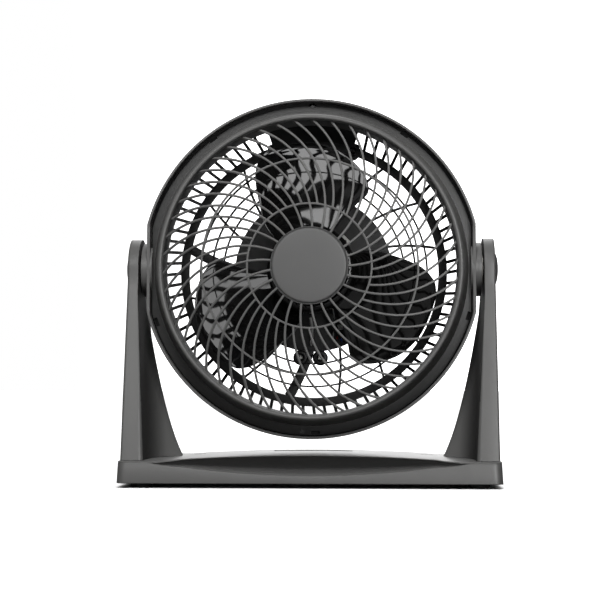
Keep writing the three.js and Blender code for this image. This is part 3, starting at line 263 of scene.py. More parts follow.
# %% [markdown]
# ## Finishes
# The fan has few materials. Grey mouldings come out of a spark-eroded tool, which leaves a
# grain of about a quarter of a millimetre: it breaks up highlights but shows no pattern.
# The grain is two noises in a Bump node, and slow noises shift the colour and the gloss a
# little, as handling and the flow of the plastic do. All patterns read Object coordinates.

# %% Nodes of a material
def connect(tree, value, target):
    """Links a socket to the target, or sets the target to a number or a colour."""
    if isinstance(value, bpy.types.NodeSocket):
        tree.links.new(value, target)
    else:
        target.default_value = value


def node(tree, kind, **inputs):
    """The outputs of a new node whose inputs are given by name."""
    made = tree.nodes.new(kind)
    for socket, value in inputs.items():
        connect(tree, value, made.inputs[socket.replace("_", " ")])
    return made.outputs


def calculate(tree, operation, *values):
    made = tree.nodes.new("ShaderNodeMath")
    made.operation = operation
    for target, value in zip(made.inputs, values):
        connect(tree, value, target)
    return made.outputs[0]


def ramp(tree, value, low, high, to_low, to_high, interpolation="LINEAR"):
    made = tree.nodes.new("ShaderNodeMapRange")
    made.interpolation_type = interpolation
    sockets = ("Value", "From Min", "From Max", "To Min", "To Max")
    for socket, number in zip(sockets, (value, low, high, to_low, to_high)):
        connect(tree, number, made.inputs[socket])
    return made.outputs["Result"]


def mix_colours(tree, share, first, second):
    made = tree.nodes.new("ShaderNodeMix")
    made.data_type = "RGBA"
    for socket, value in ((0, share), (6, first), (7, second)):
        connect(tree, value, made.inputs[socket])
    return made.outputs[2]


def object_place(tree):
    return node(tree, "ShaderNodeTexCoord")["Object"]


def finish(name, colour, roughness, metallic=0.0):
    """A plain material."""
    material = bpy.data.materials.new(name)
    material.use_nodes = True
    shader = material.node_tree.nodes["Principled BSDF"]
    shader.inputs["Base Color"].default_value = (*colour, 1)
    shader.inputs["Roughness"].default_value = roughness
    shader.inputs["Metallic"].default_value = metallic
    return material


def vary(material, colour, roughness, scale, spread, gloss_spread):
    """Slow noise that shifts the colour and the roughness a little."""
    tree = material.node_tree
    shader = tree.nodes["Principled BSDF"].inputs
    noise = node(tree, "ShaderNodeTexNoise", Vector=object_place(tree), Scale=scale, Detail=3.0)["Fac"]
    dark, light = ((*[c * (1 + change) for c in colour], 1) for change in (-spread, spread))
    connect(tree, mix_colours(tree, noise, dark, light), shader["Base Color"])
    connect(tree, ramp(tree, noise, 0, 1, roughness - gloss_spread, roughness + gloss_spread), shader["Roughness"])


def grain(material, scale, depth):
    """Fine moulding grain: two noises of different size drive a Bump node."""
    tree = material.node_tree
    place = object_place(tree)
    coarse = node(tree, "ShaderNodeTexNoise", Vector=place, Scale=scale, Detail=1.0)["Fac"]
    small = node(tree, "ShaderNodeTexNoise", Vector=place, Scale=scale * 2.7, Detail=0.0)["Fac"]
    bump = node(tree, "ShaderNodeBump", Height=calculate(tree, "ADD", coarse, small), Strength=1.0, Distance=depth)
    connect(tree, bump["Normal"], tree.nodes["Principled BSDF"].inputs["Normal"])


def moulding(name, colour, roughness, grain_scale=2200, grain_depth=0.00003, spread=0.06):
    material = finish(name, colour, roughness)
    vary(material, colour, roughness, 26, spread, 0.05)
    grain(material, grain_scale, grain_depth)
    return material


def bare_metal(name, colour, roughness):
    material = finish(name, colour, roughness, metallic=1.0)
    vary(material, colour, roughness, 180, 0.08, 0.08)
    grain(material, 900, 0.00001)
    return material


# The inner edge of an arm's front strip, in metres: its x at the floor, and its lean. The painted shade of the arms'
# hollows is measured from it.
STRIP_AT_FLOOR, STRIP_LEAN = 0.143, 0.0676


def darken_hollow(material):
    """Paints shade into an arm's hollow: the colour is darkest beside the strip in front of it and grows lighter
    towards the ridge, and the hollow is dull.
    """
    tree = material.node_tree
    shader = tree.nodes["Principled BSDF"].inputs
    shader["Specular IOR Level"].default_value = 0.1
    place = node(tree, "ShaderNodeSeparateXYZ", Vector=object_place(tree))
    strip = calculate(tree, "MULTIPLY_ADD", place["Z"], STRIP_LEAN, STRIP_AT_FLOOR)
    depth = calculate(tree, "SUBTRACT", strip, calculate(tree, "ABSOLUTE", place["X"]))
    share = ramp(tree, depth, 0.0005, 0.012, 0.3, 1.0)
    painted_shade_colour = tree.nodes.new("ShaderNodeVectorMath")
    painted_shade_colour.operation = "SCALE"
    connect(tree, shader["Base Color"].links[0].from_socket, painted_shade_colour.inputs[0])
    connect(tree, share, painted_shade_colour.inputs["Scale"])
    connect(tree, painted_shade_colour.outputs[0], shader["Base Color"])


GREY = moulding("grey_moulding", (0.083, 0.0825, 0.081), 0.37, grain_depth=0.000008)
DARK_GREY = moulding("dark_grey_moulding", (0.04, 0.04, 0.0395), 0.5)
# The flange's grey is painted darker than the drum's, for the shade it lies in between bead and lip.
FLANGE_PAINTED_SHADE_GREY = moulding("flange_painted_shade_moulding", (0.030, 0.030, 0.0295), 0.45)
CAP_GREY = moulding("cap_moulding", (0.074, 0.074, 0.0735), 0.42, spread=0.03, grain_depth=0.000015)
# The arms' hollows get a grey with painted shade: darkest beside the front strip, lighter towards the ridge.
HOLLOW_PAINTED_SHADE_GREY = moulding("arm_hollow_painted_shade", (0.095, 0.0945, 0.093), 0.6, grain_depth=0.000008)
darken_hollow(HOLLOW_PAINTED_SHADE_GREY)
BLACK = moulding("black_moulding", (0.005, 0.005, 0.005), 0.5)
GLOSS = finish("polished_black", (0.004, 0.004, 0.004), 0.05)
# Matt black for the thin ring at the bottom of the groove round the flange: it paints the shade there.
SHADE_RING_BLACK = finish("painted_shade_black", (0.004, 0.004, 0.004), 0.9)
RUBBER = moulding("black_rubber", (0.018, 0.018, 0.017), 0.85, grain_scale=3500)
SHEET_STEEL = bare_metal("sheet_steel", (0.52, 0.52, 0.50), 0.34)
ZINC = bare_metal("zinc_plate", (0.66, 0.66, 0.63), 0.28)
BLACK_STEEL = bare_metal("black_oxide", (0.05, 0.05, 0.05), 0.4)
COPPER = bare_metal("enamelled_copper", (0.42, 0.16, 0.06), 0.32)
BRONZE = bare_metal("sintered_bronze", (0.34, 0.22, 0.10), 0.5)
RED = moulding("red_insulation", (0.35, 0.012, 0.01), 0.4)
BLUE = moulding("blue_insulation", (0.012, 0.05, 0.3), 0.4)
WHITE = moulding("white_nylon", (0.62, 0.61, 0.57), 0.45)
# Pale sleeves: a white made lighter than the white nylon, as painted light for parts that lie in shade.
PALE_PAINTED_LIGHT = moulding("pale_sleeve_painted_light", (0.85, 0.85, 0.83), 0.4)


def dress(made, body, material, *nodes):
    """One material and its slot, the body it rides on, and the nodes it stands for."""
    made.data.materials.clear()
    made.data.materials.append(material)
    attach(made, body)
    if nodes:
        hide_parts(*nodes)
    print(f"{made.name}: {len(made.data.polygons)} faces on {body}")
    return made


print("finishes:", len(bpy.data.materials))


# %% [markdown]
# ## Ribs, the rule behind the grille
# The fan has some two hundred ribs, and each family is one rib copied round the axis. A
# Geometry Nodes tree does this: it takes a path as edges, sweeps a bar with rounded corners
# along it, and sets copies round the axis. The path keeps the grille's rule in plain code,
# and the tree's named inputs hold the count and the section. The copies are realized and
# given their material at the end of the tree, and the result is kept as a plain mesh.

# %% The tree of ribs round an axis
def rib_tree():
    tree = bpy.data.node_groups.new("ribs_round_axis", "GeometryNodeTree")
    face = tree.interface
    face.new_socket("Path", in_out="INPUT", socket_type="NodeSocketGeometry")
    for label, kind, value in [("Count", "Int", 12), ("First Angle", "Float", 0.0), ("Width", "Float", 2.0),
                               ("Depth", "Float", 3.0), ("Corner", "Float", 0.5), ("Corner Steps", "Int", 2)]:
        face.new_socket(label, in_out="INPUT", socket_type="NodeSocket" + kind).default_value = value
    face.new_socket("Material", in_out="INPUT", socket_type="NodeSocketMaterial")
    face.new_socket("Ribs", in_out="OUTPUT", socket_type="NodeSocketGeometry")

    def add(kind, **settings):
        made = tree.nodes.new(kind)
        for key, value in settings.items():
            setattr(made, key, value)
        return made

    inputs, outputs = add("NodeGroupInput"), add("NodeGroupOutput")
    curve = add("GeometryNodeMeshToCurve")
    upright = add("GeometryNodeSetCurveNormal", mode="Z_UP")
    bar = add("GeometryNodeCurvePrimitiveQuadrilateral")
    corners = add("GeometryNodeFilletCurve", mode="POLY")
    sweep = add("GeometryNodeCurveToMesh")
    sweep.inputs["Fill Caps"].default_value = True
    points, copies = add("GeometryNodePoints"), add("GeometryNodeInstanceOnPoints")
    index, step = add("GeometryNodeInputIndex"), add("ShaderNodeMath", operation="DIVIDE")
    angle, spin = add("ShaderNodeMath", operation="MULTIPLY_ADD"), add("ShaderNodeCombineXYZ")
    step.inputs[0].default_value = 2 * math.pi
    real, painted = add("GeometryNodeRealizeInstances"), add("GeometryNodeSetMaterial")
    for source, out, target, into in [
        # the bar, swept along the path
        (inputs, "Path", curve, "Mesh"), (curve, "Curve", upright, "Curve"), (upright, "Curve", sweep, "Curve"),
        (inputs, "Width", bar, "Width"), (inputs, "Depth", bar, "Height"), (bar, "Curve", corners, "Curve"),
        (inputs, "Corner", corners, "Radius"), (inputs, "Corner Steps", corners, "Count"),
        (corners, "Curve", sweep, "Profile Curve"),
        # the copies, each turned by its number
        (inputs, "Count", points, "Count"), (inputs, "Count", step, 1), (index, "Index", angle, 0),
        (step, "Value", angle, 1), (inputs, "First Angle", angle, 2), (angle, "Value", spin, "Z"),
        (points, "Points", copies, "Points"), (sweep, "Mesh", copies, "Instance"),
        (spin, "Vector", copies, "Rotation"),
        # realized, and given their material
        (copies, "Instances", real, "Geometry"), (real, "Geometry", painted, "Geometry"),
        (inputs, "Material", painted, "Material"), (painted, "Geometry", outputs, "Ribs"),
    ]:
        tree.links.new(source.outputs[out], target.inputs[into])
    return tree


RIB_TREE = rib_tree()
RIB_INPUTS = {s.name: s.identifier for s in RIB_TREE.interface.items_tree if s.in_out == "INPUT"}
print("inputs of the rib tree:", list(RIB_INPUTS))


def ribs(name, path, place, material, **values):
    """Copies of a bar swept along a path of points, set round the axis."""
    mesh = bpy.data.meshes.new(name)
    mesh.from_pydata([tuple(float(c) for c in p) for p in path], [(i, i + 1) for i in range(len(path) - 1)], [])
    made = placed(name, mesh)
    modifier = made.modifiers.new("ribs", "NODES")
    modifier.node_group = RIB_TREE
    for label, value in {**values, "Material": material}.items():
        modifier[RIB_INPUTS[label.replace("_", " ")]] = value
    keep_plain(made).data.transform(place)
    return smooth(faces_out(made), 40)


# %% [markdown]
# ## Floor, light and camera
# The fan stands in a studio: a narrow white wall behind, a dark room on the other sides. The
# key light hangs above and in front, so faces that look down or aside stay dark. Two
# softboxes stand left and right of the camera, only for the polished blades to mirror. The
# floor and the wall are white to the camera only, so they don't fill the shadows with light.
# The camera stands a little right of the middle, low, and looks slightly up.

# %% Camera
aside, upward = math.radians(-2.87), math.radians(3.14)
gaze = Vector((math.tan(aside), 1.0, math.tan(upward) / math.cos(aside)))
camera = placed("camera", bpy.data.cameras.new("camera"))
camera.data.lens, camera.data.sensor_width = 85.49, 36
camera.location = (0.0542, -1.294, 0.0945)
camera.rotation_euler = gaze.to_track_quat("-Z", "Y").to_euler()
bpy.context.scene.camera = camera
bpy.context.scene.view_settings.view_transform = "Standard"
print("camera:", camera.data.lens, "mm lens at", tuple(round(c, 4) for c in camera.location))

# %% Floor: a soft contact shadow under the base, and white further out
floor = piece("floor", [(-9, -9, 0), (9, -9, 0), (9, 9, 0), (-9, 9, 0)], [(0, 1, 2, 3)], Matrix.Identity(4))
paper = finish("white_paper", (0.30, 0.30, 0.30), 0.9)
floor.data.materials.append(paper)
tree = paper.node_tree
shader = tree.nodes["Principled BSDF"].inputs
seen = node(tree, "ShaderNodeLightPath")["Is Camera Ray"]
place = node(tree, "ShaderNodeSeparateXYZ", Vector=object_place(tree))
past_x, past_y = (calculate(tree, "SUBTRACT", calculate(tree, "ABSOLUTE", place[axis]), half)
                  for axis, half in (("X", 0.160), ("Y", 0.066)))
outside = calculate(tree, "MAXIMUM", past_x, past_y)
# Near the base's footprint the camera-only emission is held back, which paints a soft contact shadow; further off it is
# raised so the floor is evenly white.
near, far = ramp(tree, outside, 0, 0.018, 0, 0.62, "SMOOTHSTEP"), ramp(tree, outside, 0.1, 1.2, 0, 0.4)
shader["Emission Color"].default_value = (1, 1, 1, 1)
connect(tree, calculate(tree, "MULTIPLY", seen, calculate(tree, "ADD", near, far)), shader["Emission Strength"])
connect(tree, mix_colours(tree, seen, (0.16, 0.16, 0.16, 1), (0.75, 0.75, 0.75, 1)), shader["Base Color"])
print("floor:", len(tree.nodes), "nodes")

# %% Sky: a narrow bright wall behind, dark elsewhere, white to the camera
world = bpy.data.worlds.new("studio")
bpy.context.scene.world = world
world.use_nodes = True
tree = world.node_tree
way = node(tree, "ShaderNodeSeparateXYZ", Vector=node(tree, "ShaderNodeTexCoord")["Generated"])
strip = ramp(tree, calculate(tree, "ABSOLUTE", way["X"]), 0.06, 0.30, 2.6, 0.10, "SMOOTHSTEP")
behind = ramp(tree, way["Y"], 0.0, 0.6, 0.03, 1.0, "SMOOTHSTEP")
path = node(tree, "ShaderNodeLightPath")
seen = calculate(tree, "MAXIMUM", path["Is Camera Ray"], path["Is Transmission Ray"])
light = calculate(tree, "MAXIMUM", seen, calculate(tree, "MULTIPLY", strip, behind))
tree.nodes["Background"].inputs["Color"].default_value = (1, 1, 1, 1)
connect(tree, light, tree.nodes["Background"].inputs["Strength"])
print("sky:", len(tree.nodes), "nodes")


# %% Lamps
def lamp(name, at, size, power):
    light = bpy.data.lights.new(name, "AREA")
    light.shape, light.size, light.size_y, light.energy = "RECTANGLE", *size, power
    made = placed(name, light)
    made.location = at
    made.rotation_euler = (Vector((0, 0, 0.18)) - Vector(at)).to_track_quat("-Z", "Y").to_euler()
    print(f"{name}: {power} W, {size[0]} x {size[1]} m")
    return made


for lit in (lamp("key_light", (0.0, -1.15, 1.25), (0.8, 0.5), 40), lamp("back_light", (0.5, 1.5, 1.3), (0.9, 0.6), 14)):
    lit.visible_glossy = False
for softbox in (lamp("right_softbox", (0.74, -1.32, 0.40), (0.85, 0.62), 11),
                lamp("left_softbox", (-0.45, -1.33, 0.80), (0.75, 0.5), 5)):
    softbox.visible_diffuse = False

# %% [markdown]
# ## Drum
# The drum is the head's outer wall, with a raised lip in front that frames the grille. It
# is one turned profile, cut flat on both sides to clear the arms. Two round bosses stand
# on the flats and carry the tilt pivots.

# %% Drum and bosses
LIP, FLAT = 152.7, 147.4


def drum_half_width(radius, height):
    if radius > 150.45 or (radius > 147 and height < 15.2):
        return FLAT
    return FLAT - 2.6 if height > 15.2 else FLAT - 5.4


dress(turned("drum", rounded([
    (148.5, -25), (149.5, 13.6), (LIP, 16.6, 0.8), (LIP, 25, 0.9), (150.4, 25, 0.5), (150.4, 15.7, 0.2),
    (146.5, 15.7, 0.5), (145.5, -25, 0.6),
]), HEAD, 288, drum_half_width), "head", GREY, "drum_shell")
for side in SIDE:
    dress(turned("pivot_boss_" + SIDE[side], rounded([
        (4.6, 143), (24.9, 143), (24.5, 149), (24.5, 153, 0.9), (15, 153, 0.5), (14.4, 152.4, 0.4), (4.6, 152.4, 0.4),
    ]), head_side(side), 96), "head", GREY)

# %% [markdown]
# ## Front grille
# The grille is a shallow dome. Curved ribs leave the hub and sweep outwards like a spiral
# galaxy: 25 start at the hub, and as many again join in at the inner ring. Seen from the
# front each is an arc of one circle. Two thin rings tie them, and a raised bead frames the
# opening. Round the bead lies a flange with five notches and two screw holes; its grey is
# painted darker, as shade in the groove. A thin matt black ring closes the view between it
# and the drum and paints the shade at the bottom of the groove, and a black sleeve lines the
# mouth behind the bead and paints the shade inside it.

# %% The dome and the arc of a rib
MOUTH, DOME_TOP, DOME_DROP, DOME_POWER = 131.7, 54.0, 16.5, 3.7
ARC_RADIUS, ARC_CENTRE, INNER_RING, OUTER_RING = 82.2, 87.4, 54.7, 95.3
RIB_COUNT, FIRST_RIB, RIB_DEPTH = 25, math.radians(3.2), 3.5


def dome(radius):
    return DOME_TOP - DOME_DROP * (radius / MOUTH) ** DOME_POWER


def bearing(radius):
    return math.acos((radius**2 + ARC_CENTRE**2 - ARC_RADIUS**2) / (2 * radius * ARC_CENTRE))


def rib_path(start, steps):
    path = []
    for radius in np.linspace(start, MOUTH + 1.2, steps):
        path.append(polar(radius, bearing(INNER_RING) - bearing(radius), dome(radius) - RIB_DEPTH / 2))
    return path


for label, start, steps, shift in (("long", 33.6, 28, 0), ("short", INNER_RING, 24, math.pi / RIB_COUNT)):
    grille_ribs = ribs(f"grille_{label}_ribs", rib_path(start, steps), HEAD, GREY, Count=RIB_COUNT,
                       First_Angle=FIRST_RIB + shift, Width=2.1, Depth=RIB_DEPTH, Corner=0.7, Corner_Steps=3)
    dress(grille_ribs, "head", GREY)


# %% Rings, hub and cap
def dome_ring(name, radius, width=1.8, depth=3.2):
    top = dome(radius) - 0.15
    return turned(name, rounded([
        (radius - width / 2, top - depth), (radius + width / 2, top - depth),
        (radius + width / 2, top), (radius - width / 2, top),
    ], 0.5), HEAD, 160)


for label, radius in [("inner", INNER_RING), ("outer", OUTER_RING)]:
    dress(dome_ring(f"grille_{label}_ring", radius), "head", GREY)
HUB, SEAT = 34.4, 33.3
hub_top = dome(HUB)
dress(turned("grille_hub", rounded([
    (0.01, hub_top - 3.5), (HUB, hub_top - 3.5, 0.6), (HUB, hub_top + 0.2, 0.7),
    (SEAT, hub_top + 0.2, 0.3), (SEAT, hub_top - 1.2, 0.1), (0.01, hub_top - 1.2, 0),
]), HEAD, 160), "head", DARK_GREY)
cap_base = hub_top - 1.0
dress(turned("hub_cap_disc", rounded([
    (0.01, cap_base, 0), (33, cap_base, 0.2), (33, cap_base + 1.7, 0.9), (31.6, cap_base + 2.45, 1.0),
    (18, cap_base + 2.75, 4), (0.01, cap_base + 2.85, 0),
]), HEAD, 192, angle=60), "head", CAP_GREY, "hub_cap")

# %% Rim, flange, seal and sleeve
dress(turned("grille_rim", rounded([
    (141.2, 18.6, 0.3), (140.9, 20.5, 0.5), (136.3, 39.0, 1.2), (135.0, 41.4, 1.2), (133.3, 42.0, 1.0),
    (131.9, 41.4, 0.8), (131.0, 39.9, 0.7), (130.8, 37.5, 0.7), (131.4, 34, 0.4), (132.3, 33, 0.4), (133.3, 33, 0.6),
    (134.4, 37, 1.0), (139.2, 18.2, 0.6),
]), HEAD, 288), "head", GREY)
NOTCHES, SCREW_HOLES, SCREW_CIRCLE, SINK = (55, 127, 199, 271.5, 343), (89.3, 267), 146.1, 1.3
points, faces = lathe(rounded([
    (148.4, 15.9, 0.3), (148.4, 18.2, 0.4), (141.3, 19.8, 0.4), (139.8, 19.8, 0.3), (139.8, 17, 0.3), (146, 15.9, 0.3),
]), 288, lambda radius, height: FLAT - 4.2 if radius > 143 else LIP)
# The grille hangs a little low in the drum, so the flange's outer edge sinks.
points = [(x, y - SINK if math.hypot(x, y) > 146.5 else y, z) for x, y, z in points]
flange = shaped("grille_flange", points, faces, HEAD)
cutters = [block((145.4, -4, 15), (148.7, 4, 22), HEAD, angle) for angle in NOTCHES]
for angle in SCREW_HOLES:
    hole = head_at(*polar(SCREW_CIRCLE, math.radians(angle)))
    cutters.append(piece("cutter", *lathe([(0.01, 15), (2, 15), (2, 22), (0.01, 22)], 24), hole))
flange = smooth(cut_away(flange, cutters))
# The flange gets the darker grey of painted shade.
dress(flange, "head", FLANGE_PAINTED_SHADE_GREY, "front_grille")
# A thin matt black ring on the drum's ledge paints the shade at the bottom of the groove.
dress(turned("rim_shade_ring", rounded([(144.4, 15.6), (150.3, 15.6), (150.3, 15.85), (144.4, 15.85)], 0.1), HEAD, 288,
              lambda radius, height: FLAT - 2.7 if radius > 148 else FLAT - 5.3), "head", SHADE_RING_BLACK)
# The sleeve stands for the back of the grille's ring; it is black to paint the shade inside the mouth.
dress(turned("mouth_shade_sleeve", rounded([
    (130.7, 10, 0.4), (130.7, 38.0, 0.2), (131.5, 38.0, 0.1), (132.2, 10, 0.4),
]), HEAD, 240), "head", BLACK)

# %% [markdown]
# ## Impeller
# Three broad blades sit on a round spinner. Each blade is a skin over sections at growing
# radius: the table gives where a section starts and ends round the axis and how far it
# leans, and smooth curves fill in between. The plastic is polished black, so the blades
# show the studio as long grey reflections.

# %% Blades
# Columns: radius, leading and trailing angle, height of the back and of the front edge.
BLADE_ROWS = np.array([
    (39, 8, 86, -14, 10), (55, 4, 82, -16, 14), (73, 1, 74, -17, 16), (91, 0, 68, -16, 15),
    (100, 6, 65, -14, 13), (108, 16, 61, -10, 10), (113, 25, 57, -6, 8), (115, 32, 53, -2, 7),
], float)


def curve_through(knots, values, at):
    """A smooth curve through the values, without overshoot at the ends."""
    slopes = np.gradient(values, knots)
    k = np.clip(np.searchsorted(knots, at) - 1, 0, len(knots) - 2)
    span = knots[k + 1] - knots[k]
    t = (at - knots[k]) / span
    a, b = values[k], values[k + 1]
    m, n = slopes[k] * span, slopes[k + 1] * span
    return (2 * t**3 - 3 * t**2 + 1) * a + (t**3 - 2 * t**2 + t) * m + (3 * t**2 - 2 * t**3) * b + (t**3 - t**2) * n


def blade(start, spans=44, chord=30):
    root, end = BLADE_ROWS[0, 0], BLADE_ROWS[-1, 0]
    radii = root + (end - root) * np.sin(quarter(spans))
    loops = []
    for radius in radii:
        lead, trail, back, front = (curve_through(BLADE_ROWS[:, 0], BLADE_ROWS[:, i], radius) for i in range(1, 5))
        upper, lower = [], []
        for share in (1 - np.cos(np.linspace(0, math.pi, chord))) / 2:
            angle = math.radians(start + lead + (trail - lead) * share)
            camber = 5 * 4 * share * (1 - share) * (trail - lead) / 80
            height = 8 + back + (front - back) * share - camber
            half = 1.05 * math.sqrt(max(0, 1 - (2 * share - 1) ** 6)) + 0.02
            upper.append(polar(radius, angle, height + half))
            lower.append(polar(radius, angle, height - half))
        loops.append(upper + lower[::-1])
    count = len(loops[0])
    faces = side_faces(spans, count)
    for base in (0, (spans - 1) * count):
        faces += [(base + i, base + i + 1, base + count - 2 - i, base + count - 1 - i) for i in range(chord - 1)]
    return [p for loop in loops for p in loop], faces


blades = [shaped(f"blade_{k}", *blade(55 + 120 * k), HEAD, 60) for k in range(3)]
spinner = turned("spinner", rounded([
    (3.2, 3), (7, 3, 0.5), (7, 17, 2), (37.5, 15.5, 2), (37.5, -10, 0.5), (40, -10, 0.6), (40, 16.4, 3), (36.2, 20, 3),
    (14, 20, 1), (13, 19.2, 0.8), (12, 20, 0.4), (3.2, 20, 0.3),
], steps=5), HEAD, 160, angle=45)
blades.append(spinner)
dress(join("impeller_blades", blades), "fan_rotor", GLOSS, "impeller")
dress(turned("spinner_nut_cap", rounded([
    (3.2, 20.3, 0), (11, 20.3, 0.4), (11, 23, 1), (8.2, 29.2, 2), (4.5, 30.3, 1), (0.01, 30.3, 0), (0.01, 28.8, 0),
    (3.2, 28.8, 0),
]), HEAD, 64), "fan_rotor", GLOSS, "spinner_nut")

# %% [markdown]
# ## Rear grille
# Air enters through the back. A flat plate carries the motor, three thin rings and one wide
# ring cross sixteen radial bars, and short close-set ribs slope forward to the drum like
# the sides of a basket. It is drawn flat and thin, because it is only seen as a dark
# lattice through the front, and from behind.

# %% Plate, bars and rings
REAR, THICK, PLATE, WIDE_IN, WIDE_OUT = -38.5, 3.0, 73.9, 116.9, 125.0
COLLAR, COLLAR_FRONT, REAR_FLAT = 148.5, -25.3, 146.4


def bar_path(steps=8):
    """A bar from the plate to the wide ring, turned a little on its way."""
    path, start, end = [], PLATE - 1, WIDE_IN + 1
    for radius in np.linspace(start, end, steps):
        path.append(polar(radius, math.radians(8.3 * (end - radius) / (end - start)), REAR - THICK / 2))
    return path


def basket_height(radius):
    share = max(0.0, (radius - WIDE_OUT) / (COLLAR - WIDE_OUT))
    return REAR + (COLLAR_FRONT - REAR) * share


def flat_ring(name, inner, outer, sides):
    back = REAR - THICK
    return turned(name, rounded([(inner, back), (outer, back), (outer, REAR), (inner, REAR)], 0.4), HEAD, sides)


rear_parts = [ribs("rear_bars", bar_path(), HEAD, BLACK, Count=16, First_Angle=math.radians(11.25),
                   Width=2.4, Depth=2.9, Corner=0.5, Corner_Steps=2),
              ribs("rear_struts", bar_path(), HEAD, BLACK, Count=4, First_Angle=math.radians(11.25 + 67.5),
                   Width=9.0, Depth=3.0, Corner=0.8, Corner_Steps=2)]
for k, radius in enumerate((84.9, 95.4, 106.4)):
    rear_parts.append(flat_ring(f"rear_ring_{k}", radius - 0.9, radius + 0.9, 144))
rear_parts.append(flat_ring("rear_wide_ring", WIDE_IN, WIDE_OUT, 192))
rear_parts.append(flat_ring("rear_plate", 8.2, PLATE, 160))
print("rear lattice so far:", len(rear_parts), "parts")


# %% Basket ribs, collar and panel
BASKET_RIBS, PANEL_HALF = 80, 17.8


def basket_rib(angle, name):
    """A short rib that ends at the collar, which is nearer beside the arms."""
    end, path = min(COLLAR, REAR_FLAT / max(1e-6, abs(math.cos(angle)))) - 1.2, []
    for radius in np.linspace(WIDE_OUT - 0.5, end, 6):
        twist = math.radians(1.5 * (radius - WIDE_OUT) / (COLLAR - WIDE_OUT))
        path.append(polar(radius, angle + twist, basket_height(radius) - THICK / 2))
    return ribs(name, path, HEAD, BLACK, Count=1, Width=2.9, Depth=2.9, Corner=0.4, Corner_Steps=1)


for k in range(BASKET_RIBS):
    if abs(360 * k / BASKET_RIBS - 90) > PANEL_HALF + 0.7:
        rear_parts.append(basket_rib(2 * math.pi * k / BASKET_RIBS, f"basket_rib_{k}"))
collar = turned("rear_collar", rounded([
    (COLLAR - 2.6, COLLAR_FRONT - 4.3), (COLLAR, COLLAR_FRONT - 3.0, 0.5), (COLLAR, COLLAR_FRONT, 0.3),
    (COLLAR - 2.6, COLLAR_FRONT - 1.4, 0.3),
], 0.5), HEAD, 240, lambda radius, height: REAR_FLAT if radius > 147 else REAR_FLAT - 2.4)
rear_parts.append(collar)


def panel(columns=24, rows=6):
    """The closed field of the basket under the carry handle."""
    radii, sections = np.linspace(WIDE_OUT - 0.4, COLLAR - 0.6, rows + 1), []
    for angle in np.radians(np.linspace(90 - PANEL_HALF, 90 + PANEL_HALF, columns + 1)):
        front = [polar(radius, angle, basket_height(radius)) for radius in radii]
        sections.append(front + [(x, y, z - THICK) for x, y, z in front[::-1]])
    return shaped("handle_panel", *skin(sections), HEAD)


rear_parts.append(panel())
POSTS = [(-11.8, -79.3), (6.4, -79.6)]
for x, y in POSTS:
    rear_parts.append(turned("screw_post", rounded([
        (0.01, REAR - 3, 0), (7.2, REAR - 3, 0.3), (7.2, REAR + 1, 0.3), (6.8, REAR + 8, 1.2), (3.9, REAR + 8.6, 0.6),
        (3.7, REAR + 7.6, 0.2), (1.6, REAR + 7.6, 0.2), (1.6, REAR + 1, 0), (0.01, REAR + 1, 0),
    ]), head_at(x, y), 48))
dress(join("rear_grille_lattice", rear_parts), "head", BLACK, "rear_grille")

# %% [markdown]
# ## Arms
# Each arm is a tall moulding. Seen from the front it is a strip that widens to the foot.
# Between the front and the rear strip two hollow faces turn out to a ridge, which stands a
# little behind the middle. The skin runs through level sections, and each section is drawn
# from the same few sizes at its own height. The hollow faces get a dull finish with painted
# shade, darkest beside the strip. Each arm has a round recess for the domed cap, and a
# pocket and bore for the pivot screw.

# %% Arm sections
ARM_OUT, ARM_IN, BASE_TOP, TILT, FLARE_TOP = 164.5, 154.5, 23.0, 193.0, 171.0
NECK_HALF_DEPTH, NECK_HEIGHT, FOOT_SPREAD = 28.0, 180.0, 32.5


def arm_half(side, half_depth, inner, ridge, small):
    """Half a section: rounded outer edge, rounded inner edge, then the hollow face."""
    edge, end, ridge_y = max(0.05, min(2.4, half_depth / 3)), side * half_depth, 0.35 * half_depth
    small = max(0.02, min(small, half_depth / 4))
    half = [(ARM_OUT - edge + edge * math.cos(a), end - side * edge * (1 - math.sin(a)))
            for a in quarter(7)]
    half += [(inner + small * (1 - math.sin(a)), end - side * small * (1 - math.cos(a)))
             for a in quarter(7)][:-1]
    first = 1 - small / abs(end - ridge_y)
    for share in np.linspace(first, 0.08, 26):
        sweep = 1 - (1 - share) ** 3.5
        half.append((ridge + (inner - ridge) * sweep, ridge_y + (end - ridge_y) * share))
    x, y = half[-1]
    for tip in (0.125, 0.25, 0.375, 0.5):
        before, after = (1 - tip) ** 2, tip**2
        at = 1 - before - after
        half.append((before * x + at * ridge + after * x, before * y + at * ridge_y + after * (2 * ridge_y - y)))
    return half


def arm_section(height, half_depth, ridge):
    lift = max(0.0, (FLARE_TOP - height) / (FLARE_TOP - BASE_TOP))
    inner = ARM_OUT - (10 + 10 * lift)
    front, rear = (arm_half(side, half_depth, inner, ridge, 0.8 + 3.4 * lift) for side in (-1, 1))
    return front + rear[-2::-1]


def arm_levels():
    for t in np.linspace(0, 1, 40):
        ridge = bend(119.9, 139.3, ARM_IN, t)
        yield bend(23.3, 62, FLARE_TOP, t), ridge - 0.11 * (ARM_IN - ridge)
    yield 176.0, ARM_IN


